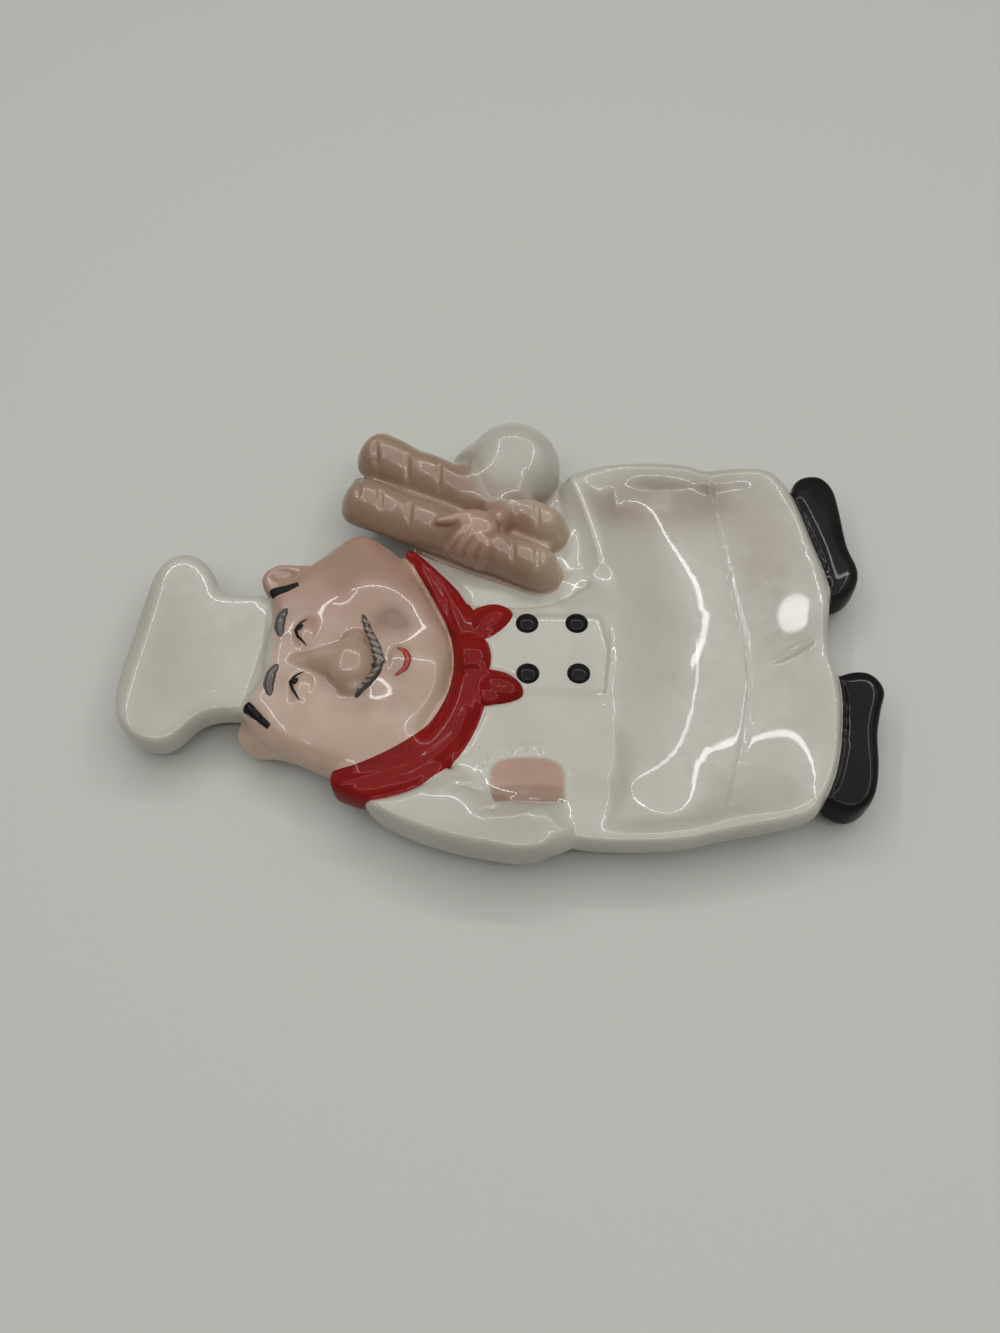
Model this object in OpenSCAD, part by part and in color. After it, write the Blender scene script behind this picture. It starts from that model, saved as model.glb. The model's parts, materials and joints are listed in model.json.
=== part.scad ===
// Glazed ceramic spoon rest in the form of a chef who lies on the back with two loaves under one arm.
// The figure lies along X, hat at -X and shoes at +X, with the loaves on the +Y side and Z up.
// Inside the file the figure is drawn from the tip of the chin, then moved so that the middle of its
// outline stands on the origin. "Near" is the -Y side and "far" the +Y side.

/* [Foot] */
// Height of the foot ring
foot_h = 4; // [2:0.5:5]
// Wall of the foot ring
foot_w = 5; // [3:0.5:8]
// Length of the foot ring along the figure
foot_len = 138; // [110:1:144]
// Width of the foot ring across the figure
foot_across = 60; // [44:1:66]

/* [Clay edges] */
// Rounding of the upper edges
edge_r = 3; // [1.5:0.5:4]
// Rise of the swept-up underside at the outline
under_h = 4.5; // [3:0.5:6]
// Width of the swept-up underside
under_w = 9; // [6:0.5:10]
// Film of slip under each applied piece
slip_gap = 0.2; // [0.1:0.05:0.4]

/* [Head] */
// Radius of the round chin and jowls
face_r = 36.5; // [33:0.5:40]
// Swelling of the far jowl beyond that radius
jowl_far = 8; // [5:0.5:8.5]
// Length of the face from the chin to the brow
face_len = 57; // [54:0.5:62]
// Bulge of the brow under the hat band
brow_arc = 5; // [3:0.5:7]
// Height of the edge of the face above the table
face_z = 18.5; // [16:0.5:22]
// Rounding of the edge of the face
head_r = 5; // [3:0.5:6]
// Crown of the face above its edge
face_crown = 3.5; // [2:0.5:6]
// Fullness of the cheeks
cheek_h = 2; // [0:0.25:3]
// Height of the nose above the face
nose_h = 7; // [4:0.5:10]
// Length of the nose
nose_len = 19; // [14:0.5:22]
// Width of the nose
nose_w = 18; // [12:0.5:20]
// Reach of the ears beyond the head
ear_out = 6; // [4:0.5:9]
// Height of the ears above the table
ear_z = 16; // [13:0.5:17]
// Width of the eyebrows
brow_w = 3.2; // [2:0.2:4]
// Width of the moustache
moustache_w = 4; // [2.5:0.25:5]
// Width of the smile
mouth_w = 2.2; // [1.4:0.2:3]
// Relief of the brows, moustache, smile and sideburns
feature_h = 1.2; // [0.6:0.1:2]
// Relief of the closed eyelids
lid_h = 1.6; // [1:0.1:2.5]

/* [Hat] */
// Length of the hat from the brow to the crown
hat_len = 39; // [36:0.5:48]
// Width across the puffed crown
hat_crown_w = 68; // [62:1:76]
// Width of the band
hat_band_w = 43; // [38:1:46]
// Length of the straight band
hat_band_len = 12; // [9:0.5:14]
// Turn of the hat on the head, in degrees
hat_tilt = 6.5; // [0:0.5:10]
// Offset of the hat towards the far side
hat_shift = 4.5; // [2:0.5:6]
// Height of the hat above the table
hat_z = 17.5; // [15:0.5:20]
// Height of the underside of the hat above the table
hat_lift = 4; // [3:0.5:6]
// Rise of the puffed roll round the crown
hat_puff = 2; // [0:0.25:3]

/* [Neckerchief] */
// Width of the band under the chin
kerchief_w = 10.5; // [8:0.5:13]
// Width of the band on the near shoulder
kerchief_near_w = 14; // [11:0.5:16]
// Width of the band where it goes under the bread
kerchief_far_w = 4; // [3:0.5:4.5]
// Crown of the band above its edges
kerchief_crown = 3.5; // [2:0.5:5]
// Length of each tail
tail_len = 9.5; // [7:0.5:10]
// Width of each tail at the knot
tail_w = 8.5; // [6:0.5:9]
// Thickness of the tails and the knot
tail_h = 2.6; // [1.5:0.2:4]

/* [Jacket and near arm] */
// Length of the jacket front from neckerchief to waist
chest_len = 38.5; // [36:0.5:44]
// Height of the jacket front above the table
chest_z = 18.5; // [16:0.5:21]
// Thickness of the overlapping front that carries the buttons
placket_h = 0.8; // [0.4:0.1:1.5]
// Diameter of a button
button_d = 7.2; // [5:0.2:9]
// Height of a button
button_h = 2.4; // [1.5:0.1:3.5]
// Spacing of the buttons along the figure
button_pitch_x = 15.5; // [12:0.5:18]
// Spacing of the buttons across the figure
button_pitch_y = 18; // [12:0.5:20]
// Reach of the near elbow from the middle of the figure
elbow_reach = 62.5; // [60:0.5:68]
// Crown of the near sleeve above its edge
sleeve_crown = 3; // [1:0.5:5]
// Length of the bare wrist
wrist_len = 22; // [16:0.5:24]
// Width of the bare wrist
wrist_w = 12; // [8:0.5:13]
// Relief of the bare wrist
wrist_h = 1.8; // [1:0.2:3]
// Width of the ruffled cuff
cuff_w = 3.2; // [2:0.2:4]
// Number of scallops along the cuff
cuff_scallops = 7; // [4:1:10]

/* [Bread and far arm] */
// Height of the ledge that carries the bread
ledge_z = 14; // [12:0.5:15]
// Length of a loaf
loaf_len = 79; // [66:1:80]
// Width of a loaf at its free end
loaf_w = 19.6; // [17:0.2:20]
// Width of a loaf at the end on the chest
loaf_end_w = 15; // [13:0.2:16]
// Height of a loaf
loaf_h = 13; // [9:0.5:16]
// Number of segments that the cuts divide a loaf into
loaf_segments = 4; // [3:1:6]
// Depth of the cuts
loaf_cut = 1.3; // [0:0.1:2]
// Turn of the loaves against the figure, in degrees
loaf_turn = -25; // [-28:0.5:-22]
// Gap between the loaves
loaf_gap = 0.3; // [0.2:0.1:1]
// Radius of the far elbow
elbow_r = 16; // [13:0.5:17]
// Height of the centre of the far elbow above the table
elbow_z = 16.5; // [15:0.5:20]
// Length of the far hand
hand_len = 19; // [14:0.5:22]
// Width of the far hand
hand_w = 16; // [12:0.5:18]
// Thickness of the far hand
hand_h = 5; // [3:0.5:7]
// Width of a finger
finger_w = 3.6; // [2.6:0.2:4]
// Length of a finger on the flank of the loaf
finger_len = 9; // [6:0.5:10]

/* [Dish] */
// Length of the dish from the waist to the trouser cuffs
dish_len = 71; // [68:1:86]
// Reach of the dish towards the near side
dish_near = 59.5; // [57:0.5:65]
// Reach of the dish towards the far side
dish_far = 80; // [76:0.5:88]
// Height of the rim above the table
rim_z = 18.5; // [16:0.5:22]
// Width of the rim
rim_w = 4; // [3:0.5:6]
// Thickness of the floor
floor_t = 4; // [3:0.5:6]
// Rise of the saucer-shaped floor from its middle to the outline
bowl_sag = 4.5; // [2:0.5:6]
// Width of the steep slope from the rim to the floor at the near and far ends
slope_w = 14; // [12:0.5:18]
// Width of the gentle slope from the waist to the floor
waist_slope_w = 27; // [20:0.5:28]
// Width of the bulging trouser legs from the cuffs to the floor
legs_w = 16; // [12:0.5:17]
// Width of the swept-up underside of the dish
dish_under_w = 16; // [10:0.5:20]
// Rise of the swept-up underside of the dish
dish_under_h = 5.5; // [4:0.5:7]
// Width of the jacket hem
hem_w = 5; // [3:0.5:8]
// Relief of the jacket hem
hem_h = 1.8; // [1:0.2:3]

/* [Shoes] */
// Reach of the toes beyond the trouser cuffs
shoe_out = 12.6; // [9:0.2:16]
// Height of the shoes above the table
shoe_z = 17; // [16.5:0.5:18]
// Height of the soles above the table
sole_z = 4; // [2.5:0.5:6]

/* [Hidden] */

// Steps along each span of an outline
STEPS = 3;
// Steps along each span of a small piece
FINE = 3;

// Middle of the round of the face
face_c = [-face_r, 0];
// Angles, seen from there, over which the neckerchief runs, and the two where the jacket's pieces part
KERCHIEF_STEP = 4;
kerchief_from = -88;
kerchief_to = 64;
sleeve_angle = -44;
shoulder_angle = 28;
// Where the jacket meets the dish, and where the trouser cuffs end
waist_x = kerchief_w + chest_len;
cuffs_x = waist_x + dish_len;
// Middle of the dish
dish_c = [waist_x + 35, (dish_far - dish_near) / 2];
// Level of the undersides on the foot ring
base_z = foot_h;
// Middle of the hat's band on the brow, and the hat's own directions
hat_o = [-face_len - brow_arc, hat_shift];
hat_up = [-cos(hat_tilt), sin(hat_tilt)];
hat_side = [sin(hat_tilt), cos(hat_tilt)];
// The loaves taper alike and lie flank to flank, so the outer one is turned by their taper
loaf_splay = asin((loaf_w - loaf_end_w) / loaf_len);
function turned(a) = [cos(a), sin(a)];
function square_to(d) = [-d[1], d[0]];
inner_dir = turned(loaf_turn);
outer_dir = turned(loaf_turn - loaf_splay);
inner_side = square_to(inner_dir);
outer_side = square_to(outer_dir);
// Half the width of a loaf at the distance u from its middle
function loaf_half(u) = (loaf_w + loaf_end_w) / 4 - u * (loaf_w - loaf_end_w) / loaf_len / 2;
// Depth of the cuts there, with none at the ends
function cut_depth(u) =
    abs(u) > 0.45 * loaf_len ? 0 : loaf_cut * pow(cos(180 * loaf_segments * (u / loaf_len + 0.5)), 8);
// Middles of the loaves and the level of their crests
inner_c = [-2.2, 48.2];
loaf_stagger = -5;
outer_c = inner_c + loaf_stagger * inner_dir
    + (2 * loaf_half(0) + loaf_gap) * square_to(turned(loaf_turn - loaf_splay / 2));
crest_z = ledge_z + loaf_h;
// Middle of the far elbow, beyond the flank of the outer loaf
elbow_c = outer_c + 10.5 * outer_dir + (loaf_half(10.5) + 9.3) * outer_side;
// Surface of the overlapping front, its near edge, and the neckerchief's steps between which it starts
placket_z = chest_z + placket_h;
placket_y = -11.5;
placket_from = angle_index(-12);
placket_to = angle_index(20);
// Middle of the group of buttons
buttons_c = [waist_x - 18.5, 4.2];
// Middle of the wrist
wrist_c = [waist_x - 26.5, -40.2];
// Middle of the figure's outline, which is moved to the origin
left_end = hat_o[0] - (hat_len + 0.6) * cos(hat_tilt) - (hat_crown_w / 2 - 19) * sin(hat_tilt);
right_end = cuffs_x + shoe_out;
near_end = -elbow_reach;
far_end = elbow_c[1] + elbow_r;
centre = [(left_end + right_end) / 2, (near_end + far_end) / 2, 0];

// Curves in the plane

function span_point(a, b, c, d, t) =
    0.5 * (2 * b + (c - a) * t + (2 * a - 5 * b + 4 * c - d) * t * t + (3 * b - a - 3 * c + d) * t * t * t);

// An open curve through the points p
function curve(p, steps = STEPS) =
    let (last = len(p) - 1)
    concat(
        [for (i = [0 : last - 1], j = [0 : steps - 1])
            span_point(p[max(i - 1, 0)], p[i], p[i + 1], p[min(i + 2, last)], j / steps)],
        [p[last]]
    );

// A closed curve through the points p
function loop(p, steps = FINE) =
    let (n = len(p))
    [for (i = [0 : n - 1], j = [0 : steps - 1])
        span_point(p[(i + n - 1) % n], p[i], p[(i + 1) % n], p[(i + 2) % n], j / steps)];

function ellipse_loop(c, rx, ry, n) =
    [for (i = [0 : n - 1]) c + [rx * cos(360 * i / n), ry * sin(360 * i / n)]];
function reversed(p) = [for (i = [len(p) - 1 : -1 : 0]) p[i]];
function part_of(p, from, to) = [for (i = [from : to]) p[i]];
// Joins curves end to end into one closed outline, leaving out the point that each repeats
function joined(curves) = [for (p = curves, i = [0 : len(p) - 2]) p[i]];
function polar(c, r, a) = c + r * [cos(a), sin(a)];
function mean(p) = [for (k = [0 : len(p[0]) - 1]) [for (q = p) q[k]] * [for (q = p) 1 / len(p)]];
function along(a, b, t) = a + (b - a) * t;

// Rings of an outline about a core [x, y, sx, sy]: a point of the outline is drawn towards the place in the
// core that lies at the shares sx and sy of its own distance from the middle, so a core is a point or a spine

function towards(q, c) = [c[0] + c[2] * (q[0] - c[0]), c[1] + c[3] * (q[1] - c[1])];
function point_core(c) = [c[0], c[1], 0, 0];
// A point of the outline moved in by the distance d, and the whole outline drawn in
function inward(q, c, d) = let (t = towards(q, c)) q + (t - q) * d / norm(t - q);
function drawn_in(p, c, d) = [for (q = p) inward(q, c, d)];
// The same, then shrunk to the share f of its way to the core
function shrunk(p, c, d, f) =
    [for (q = drawn_in(p, c, d)) let (t = towards(q, c)) t + (q - t) * f];
function at_level(p, z) = [for (q = p) [q[0], q[1], z]];
function at_height(p, height, lower = 0) = [for (q = p) [q[0], q[1], height(q) - lower]];

// A full-depth form: underside swept up by under = [width, rise], upright wall, rounded edge, and an upper
// face that follows the surface top
function slab(p, c, base, under, top, round_r, crown, turns = [45, 90]) = concat(
    [
        at_level(drawn_in(p, c, under[0]), base),
        at_level(drawn_in(p, c, under[0] * 0.3), base + under[1] * 0.4),
        at_level(p, base + under[1]),
        at_height(p, top, round_r)
    ],
    [for (a = turns) at_height(drawn_in(p, c, round_r * (1 - cos(a))), top, round_r * (1 - sin(a)))],
    [for (f = crown) at_height(shrunk(p, c, round_r, f), top)]
);

// A domed form that is laid on the surface given by seat
function boss(p, c, seat, h) = concat(
    [at_height(p, seat, -slip_gap)],
    [for (f = [0.96, 0.8, 0.5, 0.2])
        at_height(shrunk(p, point_core(c), 0, f), seat, -slip_gap - h * sqrt(1 - f * f))]
);

// A half-round strip between the rails left and right, laid on the surface given by seat
function strip(left, right, seat, h) =
    let (n = len(left) - 1)
    [for (i = [0 : n])
        let (swell = max(0.3, sqrt(sin(180 * i / n))))
        concat(
            [for (t = [0.04, 0.2, 0.5, 0.8, 0.96])
                let (q = along(left[i], right[i], t))
                [q[0], q[1], seat(q) + slip_gap + h * swell * sqrt(1 - pow(2 * t - 1, 2))]],
            [for (t = [1, 0.5, 0])
                let (q = along(left[i], right[i], t))
                [q[0], q[1], seat(q) + slip_gap]]
        )];

// The rails of a strip of the width w along the path p, which narrows to its ends
function side_of(p, i, w) =
    let (d = p[min(i + 1, len(p) - 1)] - p[max(i - 1, 0)])
    p[i] + w / 2 * [-d[1], d[0]] / norm(d);
function tapered(p, i, w) = w * max(0.25, pow(sin(180 * i / (len(p) - 1)), 0.4));
function left_rail(p, w) = [for (i = [0 : len(p) - 1]) side_of(p, i, tapered(p, i, w))];
function right_rail(p, w) = [for (i = [0 : len(p) - 1]) side_of(p, i, -tapered(p, i, w))];
function stroke(p, w, seat, h) = strip(left_rail(p, w), right_rail(p, w), seat, h);

// The solid whose skin goes through the closed loops, which run anticlockwise seen from the last one, and
// closes over the middle of the last one or over the point tip
module skin(loops, tip) {
    n = len(loops[0]);
    m = len(loops);
    closing = is_undef(tip) ? mean(loops[m - 1]) : tip;
    points = concat([for (l = loops) each l], [mean(loops[0]), closing]);
    sides = [for (i = [0 : m - 2], j = [0 : n - 1])
        let (a = i * n + j, b = i * n + (j + 1) % n)
        each [[a, a + n, b + n], [a, b + n, b]]];
    first = [for (j = [0 : n - 1]) [m * n, j, (j + 1) % n]];
    last = [for (j = [0 : n - 1]) [m * n + 1, (m - 1) * n + (j + 1) % n, (m - 1) * n + j]];
    polyhedron(points, concat(sides, first, last));
}

// Surfaces that carry other pieces

function mound(p, c, r, h) = h * exp(-pow(norm(p - c) / r, 2));
// Places on the face are drawn for a face 57 long and 73 across, and follow its size
function on_face(x, y) = [x * face_len / 57, y * face_r / 36.5];
function face_curve(p, steps = STEPS) = curve([for (q = p) on_face(q[0], q[1])], steps);
far_cheek = on_face(-25, 23);
near_cheek = on_face(-23, -22);
chin_c = on_face(-8, -3);
head_top = function(p)
    face_z + face_crown * (1 - pow(min(1, norm(p - face_c) / (face_r + 12)), 2))
    + mound(p, far_cheek, 12, cheek_h) + mound(p, near_cheek, 12, cheek_h) + mound(p, chin_c, 7, cheek_h / 2);
chest_top = function(p) chest_z;
bowl_floor = function(p)
    let (u = 2 * (p[0] - dish_c[0]) / dish_len, v = 2 * (p[1] - dish_c[1]) / (dish_near + dish_far))
    base_z + floor_t + bowl_sag * (u * u + v * v);
loaf_top = function(p)
    let (
        u = (p - inner_c) * inner_dir,
        half = loaf_half(u) - cut_depth(u) / 2,
        d = (p - inner_c) * inner_side
    )
    ledge_z + (loaf_h - cut_depth(u)) * sqrt(max(0.04, 1 - pow(d / half, 2)));
crest_top = function(p) crest_z;
kerchief_top = function(p) face_z - edge_r / 2 + kerchief_crown;

// Seams, along which two forms butt

kerchief_count = (kerchief_to - kerchief_from) / KERCHIEF_STEP;
function kerchief_angle(i) = kerchief_from + i * KERCHIEF_STEP;
function angle_index(a) = (a - kerchief_from) / KERCHIEF_STEP;
function chin_r(a) = face_r + jowl_far * pow(max(0, (a - 25) / (kerchief_to - 25)), 2);
function band_w(a) = lookup(a, [
    [kerchief_from, kerchief_near_w - 8], [-76, kerchief_near_w - 2.5], [-60, kerchief_near_w - 0.7],
    [-40, kerchief_near_w], [-20, (kerchief_near_w + kerchief_w) / 2], [0, kerchief_w],
    [35, kerchief_w - 1], [kerchief_to, kerchief_far_w]
]);
chin_seam = [for (i = [0 : kerchief_count]) polar(face_c, chin_r(kerchief_angle(i)), kerchief_angle(i))];
collar_seam = [for (i = [0 : kerchief_count])
    polar(face_c, chin_r(kerchief_angle(i)) + band_w(kerchief_angle(i)), kerchief_angle(i))];
SLEEVE_FROM = 3;
sleeve_i = angle_index(sleeve_angle);
shoulder_i = angle_index(shoulder_angle);

function on_hat(u, v) = hat_o + u * hat_up + v * hat_side;
BROW_STEPS = 8;
brow_seam = [for (i = [0 : BROW_STEPS])
    let (s = 1 - 2 * i / BROW_STEPS)
    on_hat(-brow_arc * (1 - s * s), s * hat_band_w / 2)];

// Near and far outline of the head, between the brow and the neckerchief; the ears sit on their first spans
near_cheek_seam = curve([brow_seam[BROW_STEPS], on_face(-58, -25), on_face(-52, -28.5), on_face(-43, -33),
                         chin_seam[0]]);
far_cheek_seam = curve([chin_seam[kerchief_count], on_face(-23.5, 46.4), on_face(-31.5, 50.4),
                        on_face(-39, 46), on_face(-46, 38.4), on_face(-53, 32.3), brow_seam[0]]);
EAR_SPAN = 2 * STEPS;

waist_seam = curve([
    [waist_x - 16, -dish_near + 1.5], [waist_x - 12.5, -dish_near + 10], [waist_x - 9, -dish_near + 19],
    [waist_x - 5.5, -27], [waist_x - 2, -11], [waist_x, 5], [waist_x - 0.5, 20], [waist_x - 3, 30],
    [waist_x - 5.5, 45], [waist_x - 9, dish_far - 20], [waist_x - 13, dish_far - 6]
]);
WAIST_NEAR = STEPS;
WAIST_FAR = 7 * STEPS;
WAIST_END = 10 * STEPS;
fold_seam = curve([waist_seam[WAIST_NEAR], [wrist_c[0] + 9, wrist_c[1] - wrist_w / 2 - 3],
                   [wrist_c[0] - 1, wrist_c[1] - wrist_w / 2 - 3.2],
                   [wrist_c[0] - 12, wrist_c[1] - wrist_w / 2 - 0.5], collar_seam[sleeve_i]]);
chest_seam = curve([waist_seam[WAIST_FAR], [waist_x - 8, 28], [waist_x - 16, 22.5], [waist_x - 28, 20.5],
                    collar_seam[shoulder_i]]);
cuffs_seam = curve([
    [cuffs_x - 13, -dish_near + 11.5], [cuffs_x - 7.5, -dish_near + 22], [cuffs_x - 4, -26],
    [cuffs_x - 1.7, -12], [cuffs_x - 1.9, -3], [cuffs_x - 3.2, 5], [cuffs_x - 2.2, 14], [cuffs_x, 24],
    [cuffs_x - 0.7, 35], [cuffs_x - 2.7, dish_far - 35], [cuffs_x - 5.5, dish_far - 21],
    [cuffs_x - 8, dish_far - 11]
]);
CUFF_NEAR = 4 * STEPS;
CUFF_FAR = 7 * STEPS;
CUFF_END = 11 * STEPS;

// Foot, dish and shoes

module foot_ring() {
    middle = [(cuffs_x - 20 + face_c[0]) / 2, 2];
    half = foot_len / 2 - foot_across / 2;
    color("tan")
    translate([middle[0], middle[1], 0])
    difference() {
        foot_oval(half, foot_across / 2, 0, foot_h);
        foot_oval(half, foot_across / 2 - foot_w, -1, foot_h + 2);
    }
}

// An upright prism with straight sides and half-round ends
module foot_oval(half, r, z, h) {
    for (x = [-half, half])
        translate([x, 0, z])
        cylinder(r = r, h = h, $fn = 96);
    translate([-half, -r, z])
    cube([2 * half, 2 * r, h]);
}

dish_outline = joined([
    curve([waist_seam[0], [waist_x - 7, -dish_near + 0.3], [waist_x + 6, -dish_near],
           [waist_x + 18, -dish_near + 0.7], [cuffs_x - 42, -dish_near + 3], [cuffs_x - 19, -dish_near + 7.6],
           cuffs_seam[0]]),
    cuffs_seam,
    curve([cuffs_seam[CUFF_END], [cuffs_x - 11.5, dish_far - 5], [cuffs_x - 16, dish_far - 2.6],
           [cuffs_x - 27, dish_far - 2.4], [cuffs_x - 36, dish_far - 3.4], [cuffs_x - 42, dish_far - 1],
           [waist_x + 17, dish_far], [waist_x, dish_far - 1.2], waist_seam[WAIST_END]]),
    reversed(waist_seam)
]);
dish_core = [dish_c[0], dish_c[1], 0, 0.62];
// Middle of the floor, between the slope from the waist and the legs
floor_core = point_core([(waist_x + waist_slope_w + cuffs_x - legs_w) / 2, dish_c[1]]);
// How far a point of the outline belongs to the waist or the legs, and not to the ends of the dish
function midway(q) = exp(-pow((q[1] - dish_c[1]) / (0.33 * (dish_near + dish_far)), 4));
// The bowl at the share s of the way from the rim to the floor. The fall from the rim is S-shaped at the
// ends, slackens from the waist, and on the legs grows towards the floor.
function bowl_ring(s) = [for (q = dish_outline)
    let (
        waist = q[0] < dish_c[0],
        w = along(slope_w, waist ? waist_slope_w : legs_w, midway(q)),
        p = inward(q, dish_core, rim_w + w * s),
        share = along(pow(cos(90 * s), 2), waist ? pow(1 - s, 1.3) : 1 - s * s, midway(q))
    )
    [p[0], p[1], along(bowl_floor(p), rim_z, share)]];

module dish() {
    floor_edge = [for (q = bowl_ring(1)) [q[0], q[1]]];
    color("ivory")
    skin(concat(
        [
            at_level(drawn_in(dish_outline, dish_core, dish_under_w), base_z),
            at_level(drawn_in(dish_outline, dish_core, dish_under_w * 0.3), base_z + dish_under_h * 0.4),
            at_level(dish_outline, base_z + dish_under_h),
            at_level(dish_outline, rim_z - edge_r)
        ],
        [for (a = [45, 90])
            at_level(drawn_in(dish_outline, dish_core, edge_r * (1 - cos(a))),
                     rim_z - edge_r * (1 - sin(a)))],
        [for (s = [0.12, 0.45, 0.75, 1]) bowl_ring(s)],
        [for (f = [0.66, 0.33]) at_height(shrunk(floor_edge, floor_core, 0, f), bowl_floor)]
    ), at_height([floor_core], bowl_floor)[0]);
}

module jacket_hem() {
    hem_x = cuffs_x - 27;
    path = curve([[hem_x - 5, -dish_near + 29], [hem_x - 2, -16], [hem_x, 4], [hem_x - 2, 28],
                  [hem_x - 5, dish_far - 29]], 4);
    color("ivory")
    skin(stroke(path, hem_w, bowl_floor, hem_h));
}

module shoe(inner, outer) {
    p = joined([inner, curve(outer)]);
    c = mean(p);
    color("black")
    skin(slab(p, [c[0], c[1], 0, 0.7], sole_z, [2, under_h * 0.4], function(q) shoe_z, edge_r, [0.4]));
}

module shoe_near() {
    seam = reversed(part_of(cuffs_seam, 1, CUFF_NEAR));
    toe = right_end;
    shoe(seam, [cuffs_seam[1], [toe - 17, -49], [toe - 9.5, -44.5], [toe - 6, -34], [toe - 4.6, -23],
                [toe - 2, -14], [toe, -8], [toe - 3, -2.5], [toe - 8.5, -1.3], cuffs_seam[CUFF_NEAR]]);
}

module shoe_far() {
    seam = reversed(part_of(cuffs_seam, CUFF_FAR, CUFF_END - 1));
    toe = right_end - 1.4;
    shoe(seam, [cuffs_seam[CUFF_FAR], [toe - 5.5, 26], [toe - 1.4, 30.5], [toe, 36.5], [toe - 2, 45],
                [toe - 2.5, dish_far - 20], [toe - 3.4, dish_far - 10.5], [toe - 7, dish_far - 5.2],
                [toe - 12, dish_far - 4.6], [toe - 16.6, dish_far - 7], cuffs_seam[CUFF_END - 1]]);
}

// Jacket and near arm

module jacket_front() {
    p = joined([reversed(fold_seam), part_of(waist_seam, WAIST_NEAR, WAIST_FAR), chest_seam,
                reversed(part_of(collar_seam, sleeve_i, shoulder_i))]);
    color("ivory")
    skin(slab(p, [waist_x - 25, -14, 0, 0], base_z, [under_w, under_h], chest_top, edge_r / 2, [0.5]));
}

// The overlapping front, which carries the buttons and the neckerchief's tails
module placket() {
    hem = [for (i = [placket_to : -1 : placket_from]) side_of(collar_seam, i, -2 * slip_gap)];
    p = concat(hem, [[waist_x - edge_r, placket_y], [waist_x - edge_r / 2, 5],
                     [waist_x - edge_r - 0.5, hem[0][1]]]);
    color("ivory")
    translate([0, 0, chest_z])
    linear_extrude(placket_h)
    polygon(p);
}

// Four domed buttons in two rows of two, numbered along the near row first
module button(k) {
    dome_r = (button_d * button_d / 4 + button_h * button_h) / (2 * button_h);
    place = [(k - 1) % 2 - 0.5, floor((k - 1) / 2) - 0.5];
    color("black")
    translate([buttons_c[0] + place[0] * button_pitch_x, buttons_c[1] + place[1] * button_pitch_y, placket_z])
    intersection() {
        translate([0, 0, button_h - dome_r])
        sphere(r = dome_r, $fn = 48);
        cylinder(r = button_d, h = 2 * button_h, $fn = 48);
    }
}

module sleeve_near() {
    tip = collar_seam[SLEEVE_FROM];
    p = joined([
        curve([tip, [tip[0] + 5, -elbow_reach + 12], [tip[0] + 14, -elbow_reach + 7.2],
               [tip[0] + 26, -elbow_reach + 3], [tip[0] + 38, -elbow_reach + 0.8],
               [waist_x - 30, -elbow_reach], [waist_x - 22.5, -elbow_reach + 0.8], waist_seam[0]]),
        part_of(waist_seam, 0, WAIST_NEAR),
        fold_seam,
        reversed(part_of(collar_seam, SLEEVE_FROM, sleeve_i))
    ]);
    c = [waist_x - 45, -51];
    top = function(q) chest_z + sleeve_crown * (1 - pow(norm(q - c) / 45, 2));
    color("ivory")
    skin(slab(p, [c[0], c[1], 0.4, 0], base_z + 1, [under_w / 2, under_h], top, edge_r, [0.6, 0.25]));
}

module wrist_near() {
    x = wrist_len / 2;
    y = wrist_w / 2;
    corners = [[1, 0], [0.92, 0.85], [0, 1], [-0.92, 0.85], [-1, 0], [-0.9, -0.9], [0, -1], [0.9, -0.9]];
    p = loop([for (s = corners) wrist_c + [s[0] * x, s[1] * y]], 3);
    color("lightsalmon")
    skin(boss(p, wrist_c, chest_top, wrist_h));
}

module cuff_near() {
    x = wrist_len / 2 + slip_gap + cuff_w * 0.7;
    y = wrist_w / 2 + slip_gap + cuff_w * 0.7;
    path = curve([wrist_c + [-x, -y * 0.3], wrist_c + [-x + 0.3, y * 0.4], wrist_c + [-x * 0.8, y],
                  wrist_c + [0, y * 1.06], wrist_c + [x * 0.8, y], wrist_c + [x - 0.3, y * 0.4],
                  wrist_c + [x, -y * 0.3]], 5);
    n = len(path) - 1;
    scallop = function(i) cuff_w * (0.85 + 0.15 * cos(360 * cuff_scallops * i / n));
    color("ivory")
    skin(strip([for (i = [0 : n]) side_of(path, i, scallop(i))],
               [for (i = [0 : n]) side_of(path, i, -cuff_w)], chest_top, wrist_h));
}

// Bread and far arm

module shoulder_far() {
    p = joined([
        reversed(chest_seam),
        part_of(waist_seam, WAIST_FAR, WAIST_END),
        curve([waist_seam[WAIST_END], elbow_c + [12, 5], elbow_c + [2, 9], elbow_c + [-9, 5],
               outer_c + [-6, 5], outer_c + [-12, -6], collar_seam[kerchief_count]]),
        reversed(part_of(collar_seam, shoulder_i, kerchief_count))
    ]);
    color("ivory")
    skin(slab(p, [18, 50, 0, 0], base_z + 1, [under_w, under_h * 0.7], function(q) ledge_z, edge_r / 2,
              [0.4]));
}

module elbow_far() {
    reach = 2 * elbow_r;
    color("ivory")
    intersection() {
        translate([elbow_c[0], elbow_c[1], elbow_z])
        sphere(r = elbow_r, $fn = 64);
        translate([outer_c[0], outer_c[1], ledge_z])
        rotate([0, 0, loaf_turn - 1.5 * loaf_splay])
        translate([-2 * reach, loaf_half(0) + loaf_gap, 0])
        cube([4 * reach, 2 * reach, 2 * reach]);
    }
}

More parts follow.
